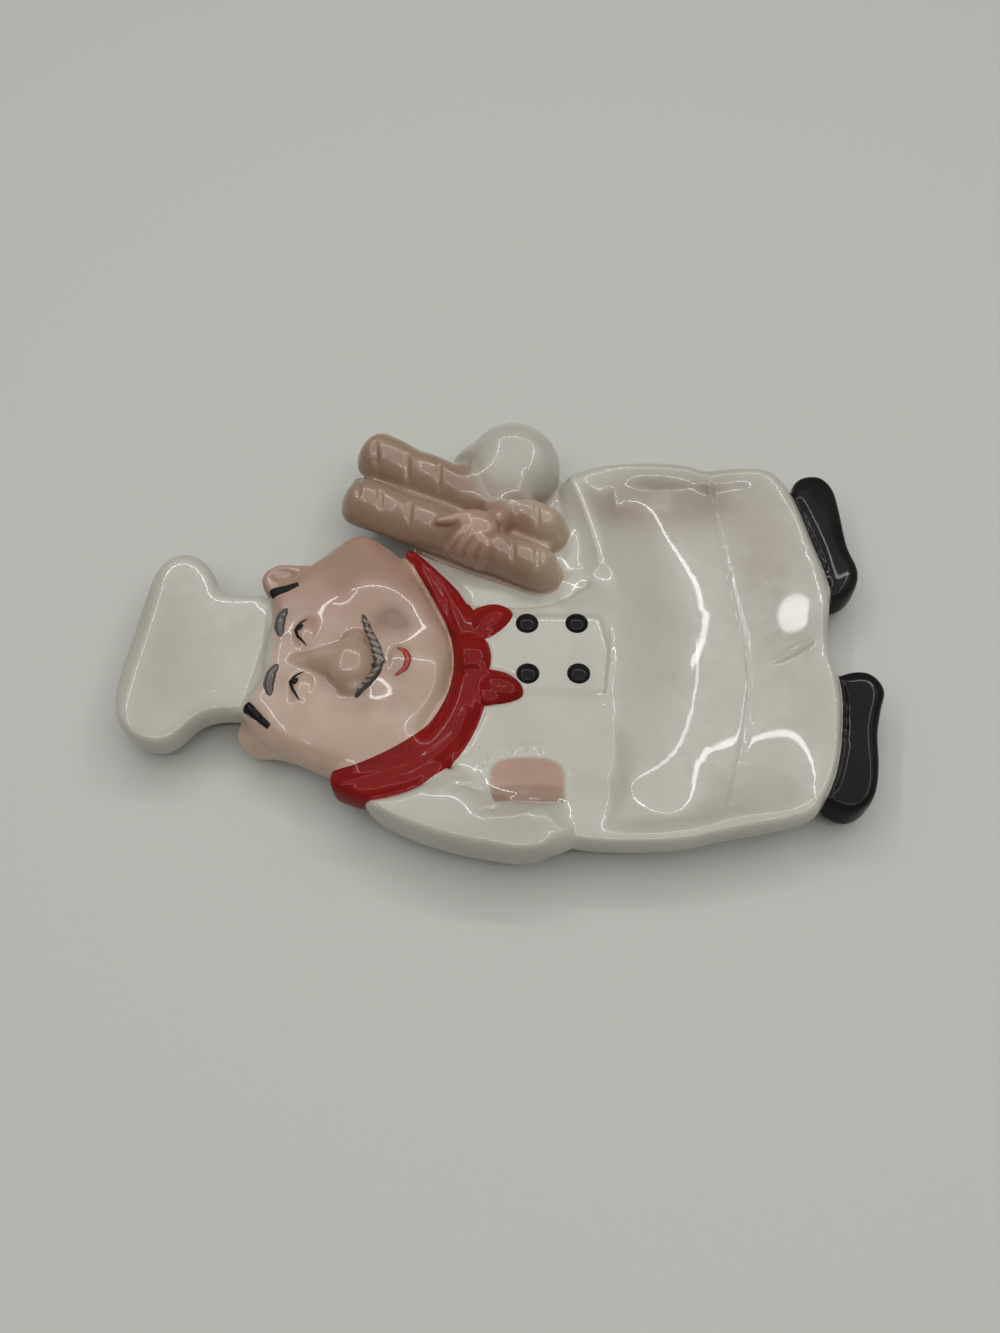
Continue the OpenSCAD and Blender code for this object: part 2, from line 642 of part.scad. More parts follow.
// One loaf along d about the middle c: the cuts draw in its width and height between the segments
module loaf(c, d) {
    stations = 6 * loaf_segments;
    end_w = 7;
    loops = [for (i = [0 : stations])
        let (
            u = loaf_len * (i / stations - 0.5),
            from_end = min(loaf_len / 2 - abs(u) + 0.4, end_w),
            blunt = sqrt(1 - pow(1 - from_end / end_w, 2)),
            w = blunt * (loaf_half(u) - cut_depth(u) / 2),
            h = blunt * (loaf_h - cut_depth(u))
        )
        [for (a = [0 : 18 : 180])
            let (q = c + u * d + w * cos(a) * square_to(d))
            [q[0], q[1], ledge_z + h * sin(a)]]];
    color("burlywood")
    skin(loops);
}

module loaf_inner() {
    loaf(inner_c, inner_dir);
}

module loaf_outer() {
    loaf(outer_c, outer_dir);
}

// The forearm lies on the crest of the outer loaf, the hand on the crest of the inner one
forearm_u = 13;
forearm_c = outer_c + forearm_u * outer_dir;
hand_u = 7;
hand_c = inner_c + hand_u * inner_dir;
// Distance from the crest to the near edge of the hand
hand_edge = 4.6;

module forearm_far() {
    p = [for (q = ellipse_loop([0, 0], 7.5, loaf_half(forearm_u) - loaf_gap, 18))
        forearm_c + q[0] * outer_dir + q[1] * outer_side];
    color("rosybrown")
    skin(boss(p, forearm_c, crest_top, hand_h + 1));
}

module hand_far() {
    half = loaf_half(hand_u);
    p = loop(concat(
        [for (q = [[0.9, 0.1], [0.7, 0.85], [0, 0.97], [-0.75, 0.9], [-1, 0.4]])
            hand_c + q[0] * hand_len / 2 * inner_dir + q[1] * half * inner_side],
        [for (x = [-0.75, 0, 0.75]) hand_c + x * hand_len / 2 * inner_dir - hand_edge * inner_side]
    ), 3);
    color("lightsalmon")
    skin(boss(p, hand_c, crest_top, hand_h));
}

// Four fingers, side by side, from the hand down the near flank of the inner loaf
module finger(k) {
    pitch = (hand_w - finger_w) / 3;
    o = hand_c + (k - 2.5) * pitch * inner_dir;
    from = hand_edge + 2 * slip_gap;
    to = min(from + finger_len, loaf_half(hand_u) * 0.9);
    path = [for (t = [0 : 0.2 : 1]) o - along(from, to, t) * inner_side];
    color("lightsalmon")
    skin(stroke(path, finger_w, loaf_top, finger_w * 0.7));
}

// Neckerchief

module kerchief_band() {
    top = [for (t = [0, 0.12, 0.3, 0.5, 0.7, 0.88, 1])
        [t, face_z - edge_r / 2 + kerchief_crown * sqrt(sin(180 * t))]];
    loops = [for (i = [0 : kerchief_count])
        concat(
            [for (s = top)
                let (q = along(chin_seam[i], collar_seam[i], s[0]))
                [q[0], q[1], s[1]]],
            [for (t = [1, 0])
                let (q = along(chin_seam[i], collar_seam[i], t))
                [q[0], q[1], base_z + under_h / 2]]
        )];
    color("crimson")
    skin(loops);
}

module kerchief_knot() {
    c = [kerchief_w / 2, 1];
    color("crimson")
    skin(boss(ellipse_loop(c, kerchief_w / 2 - 0.5, 6, 18), c, kerchief_top, tail_h));
}

// A tail that lies on the placket and leaves the neckerchief at the angle a, in the direction lean
module tail(a, lean) {
    root = side_of(collar_seam, angle_index(a), -2 * slip_gap - 1.2);
    path = [for (t = [0 : 0.2 : 1]) root + tail_len * t * turned(lean)];
    n = len(path) - 1;
    w = [for (i = [0 : n]) tail_w * (1 - 0.75 * pow(i / n, 2))];
    color("crimson")
    skin(strip([for (i = [0 : n]) side_of(path, i, w[i])], [for (i = [0 : n]) side_of(path, i, -w[i])],
               function(q) placket_z, tail_h));
}

module tail_near() {
    tail(-12, -12);
}

module tail_far() {
    tail(16, 20);
}

// Head

module head() {
    p = joined([near_cheek_seam, chin_seam, far_cheek_seam, brow_seam]);
    color("peachpuff")
    skin(slab(p, point_core(face_c), base_z, [under_w, under_h], head_top, head_r,
              [0.85, 0.68, 0.5, 0.3, 0.12], [30, 60, 90]));
}

module nose() {
    tip = on_face(-31, -2);
    corners = [[0.45, 0], [0.3, 0.8], [0, 1], [-0.3, 0.6], [-1, 0.22], [-1, -0.22], [-0.3, -0.6], [0, -1],
               [0.3, -0.8]];
    p = loop([for (q = corners) tip + [q[0] * nose_len * 0.7, q[1] * nose_w / 2]], 3);
    color("peachpuff")
    skin(boss(p, tip, head_top, nose_h));
}

// A point that stands off the seam by the distance out
function off_seam(seam, i, out) = side_of(seam, i, 2 * out);

module ear(seam, outer) {
    p = joined([seam, curve(concat([seam[EAR_SPAN]], outer, [seam[0]]))]);
    color("lightsalmon")
    skin(slab(p, point_core(mean(p)), base_z + 4, [1.5, 2], function(q) ear_z, edge_r / 2, [0.4]));
}

module ear_near() {
    seam = reversed(part_of(near_cheek_seam, 0, EAR_SPAN));
    ear(seam, [off_seam(seam, EAR_SPAN - 1, ear_out * 0.25), off_seam(seam, STEPS, ear_out * 0.6),
               off_seam(seam, 1, ear_out * 0.8)]);
}

module ear_far() {
    n = len(far_cheek_seam) - 1;
    seam = reversed(part_of(far_cheek_seam, n - EAR_SPAN, n));
    ear(seam, [off_seam(seam, EAR_SPAN - 1, ear_out * 0.45), off_seam(seam, STEPS, ear_out * 1.4),
               off_seam(seam, 1, ear_out * 1.3)]);
}

module eyebrow_near() {
    color("gray")
    skin(stroke(face_curve([[-52.8, -2.4], [-55.6, -9], [-53.8, -15]]), brow_w, head_top, feature_h));
}

module eyebrow_far() {
    color("gray")
    skin(stroke(face_curve([[-52, 17], [-54.2, 12], [-52.4, 6.5]]), brow_w, head_top, feature_h));
}

module eyelid(c) {
    color("peachpuff")
    skin(boss(ellipse_loop(c, 3, 5.2, 14), c, head_top, lid_h));
}

module eyelid_near() {
    eyelid(on_face(-45.2, -11.5));
}

module eyelid_far() {
    eyelid(on_face(-45.5, 7.5));
}

module moustache() {
    path = face_curve([[-28.3, 13.5], [-22.6, 4.5], [-22, -6.5], [-27.6, -16.5]], 5);
    color("gray")
    skin(stroke(path, moustache_w, head_top, feature_h * 1.3));
}

module mouth() {
    path = face_curve([[-18.2, 3.2], [-13.8, -0.5], [-14.2, -4.6], [-18, -8]]);
    color("red")
    skin(stroke(path, mouth_w, head_top, feature_h));
}

module sideburn_near() {
    color("black")
    skin(stroke(face_curve([[-59.5, -17.2], [-57, -19.5], [-54.4, -23.4]]), brow_w, head_top, feature_h));
}

module sideburn_far() {
    color("black")
    skin(stroke(face_curve([[-56, 24.2], [-53, 25], [-50, 27]]), brow_w, head_top, feature_h));
}

// Hat

module hat() {
    b = hat_band_w / 2;
    c = hat_crown_w / 2;
    k = hat_band_len;
    far_side = [[k - 4, b - 0.7], [k + 2.5, b + 0.2], [k + 5.2, b + 2.4], [k + 8.6, c - 4.7],
                [k + 12.4, c - 1.2], [k + 17.3, c], [hat_len - 4, c - 2.7], [hat_len - 0.6, c - 9],
                [hat_len + 0.2, c - 21]];
    near_side = [[k - 8, b], [k - 2.2, b + 2], [k + 1.5, b + 5.2], [k + 4.6, c - 2.8], [k + 8.5, c + 0.4],
                 [k + 15, c + 0.6], [hat_len - 6.5, c - 2.2], [hat_len - 1.6, c - 8.5],
                 [hat_len + 0.6, c - 19]];
    far = [for (q = far_side) on_hat(q[0], q[1])];
    near = [for (q = reversed(near_side)) on_hat(q[0], -q[1])];
    p = joined([
        curve(concat([brow_seam[0]], far, [on_hat(hat_len + 0.4, 0)], near, [brow_seam[BROW_STEPS]])),
        reversed(brow_seam)
    ]);
    o = on_hat(k + 11, 0);
    top = function(q) hat_z + hat_puff * exp(-pow(((q - hat_o) * hat_up - hat_len + 6) / 7, 2));
    color("ivory")
    skin(slab(p, [o[0], o[1], 0, 0.4], hat_lift, [under_w, under_h], top, edge_r, [0.75, 0.5, 0.25]));
}

translate(-centre) {
    foot_ring();
    dish();
    jacket_hem();
    shoe_near();
    shoe_far();
    jacket_front();
    placket();
    for (k = [1 : 4])
        button(k);
    sleeve_near();
    cuff_near();
    wrist_near();
    shoulder_far();
    elbow_far();
    forearm_far();
    hand_far();
    for (k = [1 : 4])
        finger(k);
    loaf_inner();
    loaf_outer();
    kerchief_band();
    kerchief_knot();
    tail_near();
    tail_far();
    head();
    nose();
    ear_near();
    ear_far();
    eyebrow_near();
    eyebrow_far();
    eyelid_near();
    eyelid_far();
    moustache();
    mouth();
    sideburn_near();
    sideburn_far();
    hat();
}
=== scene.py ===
# %% [markdown]
# # A spoon rest in the form of a chef
#
# The real thing is one slip-cast piece of white clay: a chef who lies on the back, with two loaves under one
# arm and an apron that is hollowed into a bowl. It was dipped in clear glaze and painted by hand. We start
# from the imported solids, which fix every size and place, and dress them: first the clay, then the glazes.

# %% The solids
import json
import math

import bpy
import numpy as np
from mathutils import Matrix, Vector
from mathutils.bvhtree import BVHTree
from mathutils.kdtree import KDTree

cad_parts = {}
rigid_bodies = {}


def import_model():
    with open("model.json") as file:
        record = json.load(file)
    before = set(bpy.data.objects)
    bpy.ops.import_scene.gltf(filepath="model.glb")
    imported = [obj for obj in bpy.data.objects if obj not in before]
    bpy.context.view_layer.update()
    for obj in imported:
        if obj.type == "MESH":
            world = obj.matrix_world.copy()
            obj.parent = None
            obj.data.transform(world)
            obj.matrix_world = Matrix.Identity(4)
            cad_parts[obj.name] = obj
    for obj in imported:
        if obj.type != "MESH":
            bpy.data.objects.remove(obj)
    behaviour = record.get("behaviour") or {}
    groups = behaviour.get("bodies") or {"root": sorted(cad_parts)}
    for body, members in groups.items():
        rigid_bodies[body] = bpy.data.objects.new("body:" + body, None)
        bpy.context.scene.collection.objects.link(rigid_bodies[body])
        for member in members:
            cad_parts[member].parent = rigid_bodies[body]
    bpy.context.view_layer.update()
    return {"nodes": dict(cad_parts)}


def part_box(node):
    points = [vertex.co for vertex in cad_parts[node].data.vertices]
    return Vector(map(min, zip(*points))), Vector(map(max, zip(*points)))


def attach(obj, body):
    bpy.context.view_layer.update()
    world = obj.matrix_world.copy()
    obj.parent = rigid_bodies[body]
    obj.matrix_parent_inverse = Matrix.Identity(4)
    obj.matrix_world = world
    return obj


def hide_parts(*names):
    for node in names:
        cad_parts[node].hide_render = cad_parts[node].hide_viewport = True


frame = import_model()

nodes = frame["nodes"]

# %% [markdown]
# ## Where things are
#
# Every place below is given in millimetres from the tip of the chin, X towards the shoes, Y towards the loaves
# and Z up from the table, because a modeller measures from a point that can be seen. The knot of the neckerchief
# has a known place beside the chin, so its solid tells where the chin is in the frame.

# %% Millimetres from the chin
KNOT_FROM_CHIN = Vector((5.25, 1.0))
knot_low, knot_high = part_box("kerchief_knot")
chin = Vector([500 * (knot_low[i] + knot_high[i]) - KNOT_FROM_CHIN[i] for i in range(2)])


def at(x, y, z):
    return Vector((x + chin.x, y + chin.y, z)) / 1000


print("chin tip in the frame, in mm:", [round(c, 2) for c in chin])

# %% [markdown]
# ## Camera, table and light
#
# The photograph looks down at 60 degrees from the near side. Its lens is found from the way the figure narrows
# with distance. The table is plain and pale. The light is soft and comes from above: a bright room, a wide
# ceiling panel, and four tubes round the panel, which a glossy glaze mirrors as thin bright outlines.

# %% Camera
PHOTO_HEIGHT_PX = 1333
FOCAL_PX = 1150
SENSOR_MM = 36
AIM = at(14.3, 3.0, 10.0)
DISTANCE = 0.362
ELEVATION = math.radians(60)
seat = AIM + DISTANCE * Vector((0, -math.cos(ELEVATION), math.sin(ELEVATION)))
bpy.ops.object.camera_add(location=seat, rotation=(math.pi / 2 - ELEVATION, 0, 0))
camera = bpy.context.object
camera.data.sensor_width = SENSOR_MM
camera.data.lens = SENSOR_MM * FOCAL_PX / PHOTO_HEIGHT_PX
bpy.context.scene.camera = camera
bpy.context.scene.view_settings.view_transform = "Standard"
print("camera at", [round(c, 3) for c in seat], "lens", round(camera.data.lens, 2))

# %% Table
TABLE_COLOUR = (0.52, 0.525, 0.485, 1)
bpy.ops.mesh.primitive_plane_add(size=8, location=(0, 0, 0))
table = bpy.context.object
table.name = "table"
table_paint = bpy.data.materials.new("table_paint")
table_paint.use_nodes = True
table_shader = table_paint.node_tree.nodes["Principled BSDF"]
table_shader.inputs["Base Color"].default_value = TABLE_COLOUR
table_shader.inputs["Roughness"].default_value = 0.55
table_shader.inputs["Specular IOR Level"].default_value = 0.2
table.data.materials.append(table_paint)
print("table made")


# %% Light
def light_panel(name, place, size, power):
    bpy.ops.object.light_add(type="AREA", location=place)
    panel = bpy.context.object
    panel.name = name
    panel.data.shape = "RECTANGLE"
    panel.data.size, panel.data.size_y = size
    panel.data.energy = power
    panel.rotation_euler = (-Vector(place)).to_track_quat("-Z", "Y").to_euler()


# Place and size in metres, and power in watts
LAMPS = {
    "ceiling_panel": ((0.05, 0.15, 1.4), (2.2, 2.0), 10.7),
    "tube_far": ((0.05, 0.66, 0.95), (1.25, 0.024), 1.9),
    "tube_near": ((0.05, -0.42, 0.95), (1.25, 0.024), 1.8),
    "tube_left": ((-0.58, 0.12, 0.95), (1.08, 0.024), 1.2),
    "tube_right": ((0.68, 0.12, 0.95), (1.08, 0.024), 1.2),
}
ROOM_COLOUR = (1.0, 0.985, 0.955, 1)
ROOM_STRENGTH = 0.22
for lamp, (place, size, power) in LAMPS.items():
    light_panel(lamp, place, size, power)
room = bpy.data.worlds.new("room")
bpy.context.scene.world = room
room.use_nodes = True
room.node_tree.nodes["Background"].inputs["Color"].default_value = ROOM_COLOUR
room.node_tree.nodes["Background"].inputs["Strength"].default_value = ROOM_STRENGTH
print("lamps:", list(LAMPS))

# %% [markdown]
# ## Clay
#
# The cast has no hard edges: the glaze melts every join. Modelling each form by itself would leave a gap round
# it. So we do what the potter did. Copies of the solids are subdivided to round them, lumps and ropes of clay are
# pressed on, and a voxel remesh fuses all of it into one skin, which is then smoothed as the glaze would.

# %% Helpers that work on one object at a time
MERGE = 2e-6


def lone(piece):
    bpy.ops.object.select_all(action="DESELECT")
    piece.select_set(True)
    bpy.context.view_layer.objects.active = piece


def finish_with(piece, kind, **settings):
    lone(piece)
    modifier = piece.modifiers.new(kind.title(), kind)
    for name, value in settings.items():
        setattr(modifier, name, value)
    bpy.ops.object.modifier_apply(modifier=modifier.name)


def join(pieces):
    bpy.ops.object.select_all(action="DESELECT")
    for piece in pieces:
        piece.select_set(True)
    bpy.context.view_layer.objects.active = pieces[0]
    if len(pieces) > 1:
        bpy.ops.object.join()
    return pieces[0]


def new_copy(mesh, name):
    piece = bpy.data.objects.new(name, mesh.copy())
    bpy.context.scene.collection.objects.link(piece)
    return piece


def solid_copy(node):
    piece = new_copy(nodes[node].data, "clay_" + node)
    piece.data.materials.clear()
    lone(piece)
    bpy.ops.object.mode_set(mode="EDIT")
    bpy.ops.mesh.select_all(action="SELECT")
    bpy.ops.mesh.remove_doubles(threshold=MERGE)
    bpy.ops.mesh.tris_convert_to_quads(face_threshold=math.pi, shape_threshold=math.pi)
    bpy.ops.object.mode_set(mode="OBJECT")
    return piece


# %% Rounded copies of the solids
ROUNDED = ["dish", "jacket_front", "sleeve_near", "shoulder_far", "head", "hat", "kerchief_band", "kerchief_knot",
           "loaf_inner", "loaf_outer", "ear_far", "nose", "eyelid_near", "eyelid_far", "shoe_near", "shoe_far"]
EXACT = ["elbow_far", "placket"]
# The near ear is rolled further down, so its solid only lends its outline
ROLLED = ["ear_near"]
plain = {node: solid_copy(node) for node in ROUNDED + EXACT + ROLLED}
clay_lumps = []
for node in ROUNDED:
    lump_copy = new_copy(plain[node].data, "round_" + node)
    finish_with(lump_copy, "SUBSURF", levels=2, render_levels=2)
    clay_lumps.append(lump_copy)
clay_lumps += [new_copy(plain[node].data, "exact_" + node) for node in EXACT]
print("copies:", len(clay_lumps), "faces:", sum(len(c.data.polygons) for c in clay_lumps))

# %% [markdown]
# Lumps are balls of clay, pulled longer and turned, half sunk into what carries them: the bulb and wings of the
# nose, the cheeks, the lips and chin, the closed lids, the elbows, the palm. A ball is the quickest start for each,
# because fusing takes the ball's outline away and leaves only its swelling.


# %% Lumps
def lump(x, y, z, rx, ry, rz, turn=0.0):
    bpy.ops.mesh.primitive_uv_sphere_add(
        segments=32, ring_count=16, radius=0.001, location=at(x, y, z),
        rotation=(0, 0, math.radians(turn)), scale=(rx, ry, rz))
    bpy.ops.object.transform_apply(location=True, rotation=True, scale=True)
    return bpy.context.object


# Middle, half-widths along X, Y and Z, and a turn in degrees
FACE_LUMPS = {
    "nose_bulb": (-31.0, -3.6, 24.2, 7.2, 8.2, 5.4),
    "wing_far": (-30.0, 4.6, 23.0, 3.6, 3.4, 2.8),
    "wing_near": (-29.6, -11.0, 22.8, 3.6, 3.4, 2.8),
    "cheek_far": (-25.5, 24.0, 18.8, 14.0, 14.0, 5.6),
    "cheek_near": (-22.5, -24.5, 18.2, 12.5, 12.0, 5.4),
    "chin": (-6.8, -3.2, 18.8, 4.8, 9.5, 3.8),
    "lips": (-16.6, -2.6, 20.2, 5.0, 8.0, 2.4),
    "lid_far": (-45.0, 8.0, 21.4, 3.4, 5.4, 1.9),
    "lid_near": (-44.6, -11.0, 21.4, 3.4, 5.4, 1.9),
    "forehead": (-51.0, 1.0, 19.2, 7.0, 22.0, 2.6),
    "ear_lobe": (-58.4, -20.8, 9.4, 7.4, 6.4, 6.2),
}
ARM_LUMPS = {
    "elbow_near": (26.0, -53.6, 14.6, 12.5, 8.0, 7.0),
    "palm": (7.6, 46.0, 26.4, 6.8, 5.4, 3.6, -35),
    "thumb_root": (3.6, 48.2, 26.8, 4.6, 2.4, 2.4, 8),
    "knuckles": (7.2, 41.8, 25.4, 5.0, 2.4, 2.2, -35),
}
for place in [*FACE_LUMPS.values(), *ARM_LUMPS.values()]:
    clay_lumps.append(lump(*place))
print("lumps:", len(FACE_LUMPS) + len(ARM_LUMPS))

# %% [markdown]
# Ropes are rolls of clay along a path: the forearm, the thumb and the fingers, the bridge of the nose, the rim of
# the near ear, and the rolls that a potter presses into a join until it is level. A bevelled curve makes a rope with
# a thickness of its own at each point, and converting it gives a closed mesh.


# %% Ropes
def rope(points):
    bpy.ops.curve.primitive_nurbs_path_add(radius=0.01)
    piece = bpy.context.object
    piece.location = (0, 0, 0)
    path = piece.data
    path.splines.clear()
    line = path.splines.new("NURBS")
    line.points.add(len(points) - 1)
    for point, (x, y, z, r) in zip(line.points, points):
        point.co = (*at(x, y, z), 1)
        point.radius = r
    line.order_u = 3
    line.use_endpoint_u = True
    line.resolution_u = 6
    path.dimensions = "3D"
    path.bevel_depth = 0.001
    path.bevel_resolution = 3
    path.use_fill_caps = True
    bpy.ops.object.convert(target="MESH")
    bpy.ops.object.mode_set(mode="EDIT")
    bpy.ops.mesh.select_all(action="SELECT")
    bpy.ops.mesh.remove_doubles(threshold=MERGE)
    bpy.ops.mesh.normals_make_consistent(inside=False)
    bpy.ops.object.mode_set(mode="OBJECT")
    return piece


# Every point of a rope has a place and a radius
FINGERS = {
    "finger_1": [(3.2, 44.2, 27.4, 1.6), (1.4, 42.4, 27.0, 1.45), (-0.9, 40.3, 24.2, 1.4), (-3.3, 39.7, 19.4, 1.2)],
    "finger_2": [(6.0, 42.5, 27.6, 1.6), (4.3, 40.5, 26.5, 1.45), (1.7, 38.7, 23.1, 1.4), (-0.3, 38.1, 18.1, 1.2)],
    "finger_3": [(8.4, 40.4, 27.2, 1.6), (6.7, 38.5, 25.3, 1.45), (4.8, 37.1, 22.0, 1.4), (3.1, 36.5, 17.3, 1.1)],
    "finger_4": [(10.9, 39.0, 26.6, 1.5), (9.6, 37.0, 24.5, 1.4), (8.2, 35.7, 20.9, 1.3), (6.6, 35.0, 16.8, 1.0)],
}
THUMB = [(6.5, 49.4, 27.0, 2.5), (4.2, 48.8, 27.4, 2.3), (0.4, 47.6, 27.8, 2.1), (-3.3, 47.0, 27.5, 1.7),
         (-6.8, 47.0, 27.0, 1.2)]
FOREARM = [(17.5, 76.0, 15.0, 10.0), (17.5, 66.0, 17.4, 9.0), (17.5, 59.0, 19.6, 7.2), (15.5, 53.5, 21.0, 5.8),
           (11.5, 48.5, 23.4, 4.6)]
SLEEVE = [(16.0, 77.0, 18.4, 12.8), (8.5, 77.0, 16.5, 10.6), (3.5, 75.5, 15.4, 8.0), (0.5, 71.5, 15.0, 5.0)]
EAR_RIM = [(-62.2, -18.6, 8.5, 3.6), (-61.8, -22.2, 8.5, 3.8), (-57.8, -25.4, 9.0, 3.8), (-52.5, -26.0, 8.8, 2.5),
           (-46.5, -28.2, 8.4, 2.4)]
NOSE_BRIDGE = [(-33.0, -2.8, 23.6, 5.0), (-39.5, -2.4, 22.2, 3.8), (-46.0, -1.8, 20.6, 2.8), (-53.0, -1.2, 18.8, 2.0)]
# Rolls that fill the joins: at the waist, in front of the bent arm, on the brow, at the elbow and between
# the loaves
FILLS = [
    [(34.5, -54.0, 15.8, 2.2), (36.5, -49.5, 16.2, 2.3), (40.0, -40.5, 16.2, 2.3), (43.5, -27.0, 16.2, 2.3),
     (47.0, -11.0, 16.2, 2.3), (49.0, 5.0, 16.2, 2.3), (48.5, 20.0, 16.2, 2.3), (46.0, 30.0, 15.6, 2.2)],
    [(34.5, -49.4, 16.2, 2.2), (21.5, -49.4, 16.6, 2.2), (10.5, -46.7, 16.6, 2.2), (1.5, -36.0, 16.2, 2.0)],
    [(-59.6, 23.0, 13.8, 3.4), (-57.0, 14.8, 14.6, 3.6), (-57.0, 3.9, 14.8, 3.6), (-59.5, -6.6, 14.6, 3.6),
     (-63.0, -14.0, 13.8, 3.4)],
    [(46.0, 30.0, 14.4, 3.0), (43.5, 45.0, 13.6, 3.0), (40.0, 60.0, 13.4, 3.0), (36.5, 72.0, 13.4, 2.8)],
    [(5.0, 72.5, 23.5, 4.0), (11.0, 68.5, 24.5, 4.4), (17.5, 67.0, 24.8, 4.6), (24.0, 68.5, 23.5, 4.4),
     (29.0, 72.5, 21.0, 4.0)],
    [(-35.0, 70.0, 16.5, 3.6), (-14.0, 61.0, 17.0, 4.0), (5.0, 52.0, 17.0, 4.0), (30.0, 41.0, 16.5, 3.4)],
]
ROPES = [*FINGERS.values(), THUMB, FOREARM, SLEEVE, EAR_RIM, NOSE_BRIDGE, *FILLS]
clay_lumps += [rope(path) for path in ROPES]
print("ropes:", len(ROPES))

# %% [markdown]
# The knot and the two tails of the neckerchief lie flat on the chest. Each is cut from a slab as one cuts leather:
# draw the outline, round it, fill it, and pull it up to its thickness.


# %% Slabs with a drawn outline
def slab(outline, low, high):
    mesh = bpy.data.meshes.new("slab")
    n = len(outline)
    mesh.from_pydata([at(x, y, low) for x, y in outline], [(i, (i + 1) % n) for i in range(n)], [])
    piece = bpy.data.objects.new("slab", mesh)
    bpy.context.scene.collection.objects.link(piece)
    lone(piece)
    bpy.ops.object.mode_set(mode="EDIT")
    bpy.ops.mesh.select_all(action="SELECT")
    bpy.ops.mesh.edge_face_add()
    bpy.ops.mesh.extrude_region_move(TRANSFORM_OT_translate={"value": (0, 0, (high - low) / 1000)})
    bpy.ops.mesh.select_all(action="SELECT")
    bpy.ops.mesh.normals_make_consistent(inside=False)
    bpy.ops.object.mode_set(mode="OBJECT")
    return piece


def rounded(corners, steps=4):
    """A closed smooth line through the corners."""
    c = np.array(corners, float)
    a, b, d, e = np.roll(c, 1, axis=0), c, np.roll(c, -1, axis=0), np.roll(c, -2, axis=0)
    shares = [k / steps for k in range(steps)]
    spans = [0.5 * (2 * b + (d - a) * t + (2 * a - 5 * b + 4 * d - e) * t * t + (3 * b - a - 3 * d + e) * t ** 3)
             for t in shares]
    return [tuple(p) for p in np.stack(spans, axis=1).reshape(-1, 2)]


TAILS = {
    "tail_far": rounded([(5.6, 16.8), (9.3, 19.6), (13.0, 20.2), (16.0, 19.2), (17.8, 16.8), (17.0, 14.0),
                         (14.1, 10.6), (10.1, 7.6), (6.2, 6.8)]),
    "tail_near": rounded([(8.6, -5.0), (14.6, -4.8), (18.8, -7.4), (20.8, -10.8), (19.6, -13.2), (14.1, -14.8),
                          (9.0, -14.4)]),
}
KNOT_LINE = rounded([(2.1, 6.8), (6.0, 7.4), (9.6, 6.2), (10.9, 2.5), (11.0, -2.0), (9.8, -4.6), (6.0, -5.0),
                     (2.6, -4.6)])
CHEST, TAIL_TOP, KNOT_TOP = 17.0, 20.4, 21.4
# Swellings of the knot, the far tail and the near tail
SWELLINGS = [(6.6, 1.2, 20.8, 4.0, 4.8, 2.2), (11.6, 14.0, 20.2, 6.2, 3.4, 2.0, 34),
             (14.8, -9.8, 20.2, 5.8, 3.8, 2.0, -16)]
clay_lumps += [slab(outline, CHEST, TAIL_TOP) for outline in TAILS.values()] + [slab(KNOT_LINE, CHEST, KNOT_TOP)]
clay_lumps += [lump(*place) for place in SWELLINGS]
print("slabs:", [*TAILS, "kerchief_knot"])

# %% Fuse the clay
VOXEL = 0.0006
MELT, TOUCH_UP = 10, 4


def largest_part(piece):
    lone(piece)
    bpy.ops.object.mode_set(mode="EDIT")
    bpy.ops.mesh.select_all(action="SELECT")
    bpy.ops.mesh.separate(type="LOOSE")
    bpy.ops.object.mode_set(mode="OBJECT")
    parts = sorted(bpy.context.selected_objects, key=lambda p: len(p.data.polygons))
    for crumb in parts[:-1]:
        bpy.data.objects.remove(crumb)
    return parts[-1]


def fuse(lumps, melt):
    body = join(lumps)
    finish_with(body, "REMESH", mode="VOXEL", voxel_size=VOXEL)
    body = largest_part(body)
    finish_with(body, "SMOOTH", factor=0.5, iterations=melt)
    return body


clay = fuse(clay_lumps, MELT)
print("fused clay:", len(clay.data.polygons), "faces")

# %% [markdown]
# Glaze levels a broad form far more than a narrow one. So the bowl, the trousers, the sleeves, the near ear and the
# cheeks are rubbed down once more, most in their middle and not at all at their edge or on steep walls: a vertex group
# holds how much, and the smoothing obeys it. Each form is lifted off for the rubbing, to spare the rest of the mesh.

# %% Rub the broad forms down
# Middle and reach of each in X and Y, the height up to which it is rubbed, and the number of strokes
ANY_HEIGHT = 40.0
BROAD = {
    "bowl": (81.0, 10.0, 34.0, 60.0, 18.5, 4000),
    "far_waist": (44.0, 50.0, 9.0, 26.0, 17.5, 700),
    "far_chest": (42.0, 27.0, 10.0, 9.0, 19.0, 700),
    "near_shoulder": (8.0, -41.5, 16.0, 11.0, ANY_HEIGHT, 600),
    "near_waist": (37.0, -47.0, 9.0, 9.0, ANY_HEIGHT, 500),
    "bent_arm": (14.0, 67.5, 15.0, 10.0, ANY_HEIGHT, 500),
    "ear_near": (-56.5, -23.0, 12.0, 9.0, ANY_HEIGHT, 400),
    "cheek_far": (-28.0, 31.0, 17.0, 16.0, ANY_HEIGHT, 500),
    "cheek_near": (-27.0, -29.0, 22.0, 12.0, ANY_HEIGHT, 500),
    "chin": (-8.5, -6.0, 7.0, 18.0, ANY_HEIGHT, 200),
}
LEVELS = 20
STEEP = 0.3
FULL_FROM = 0.7


def soft_step(values, low, high):
    t = np.clip((values - low) / (high - low), 0, 1)
    return t * t * (3 - 2 * t)


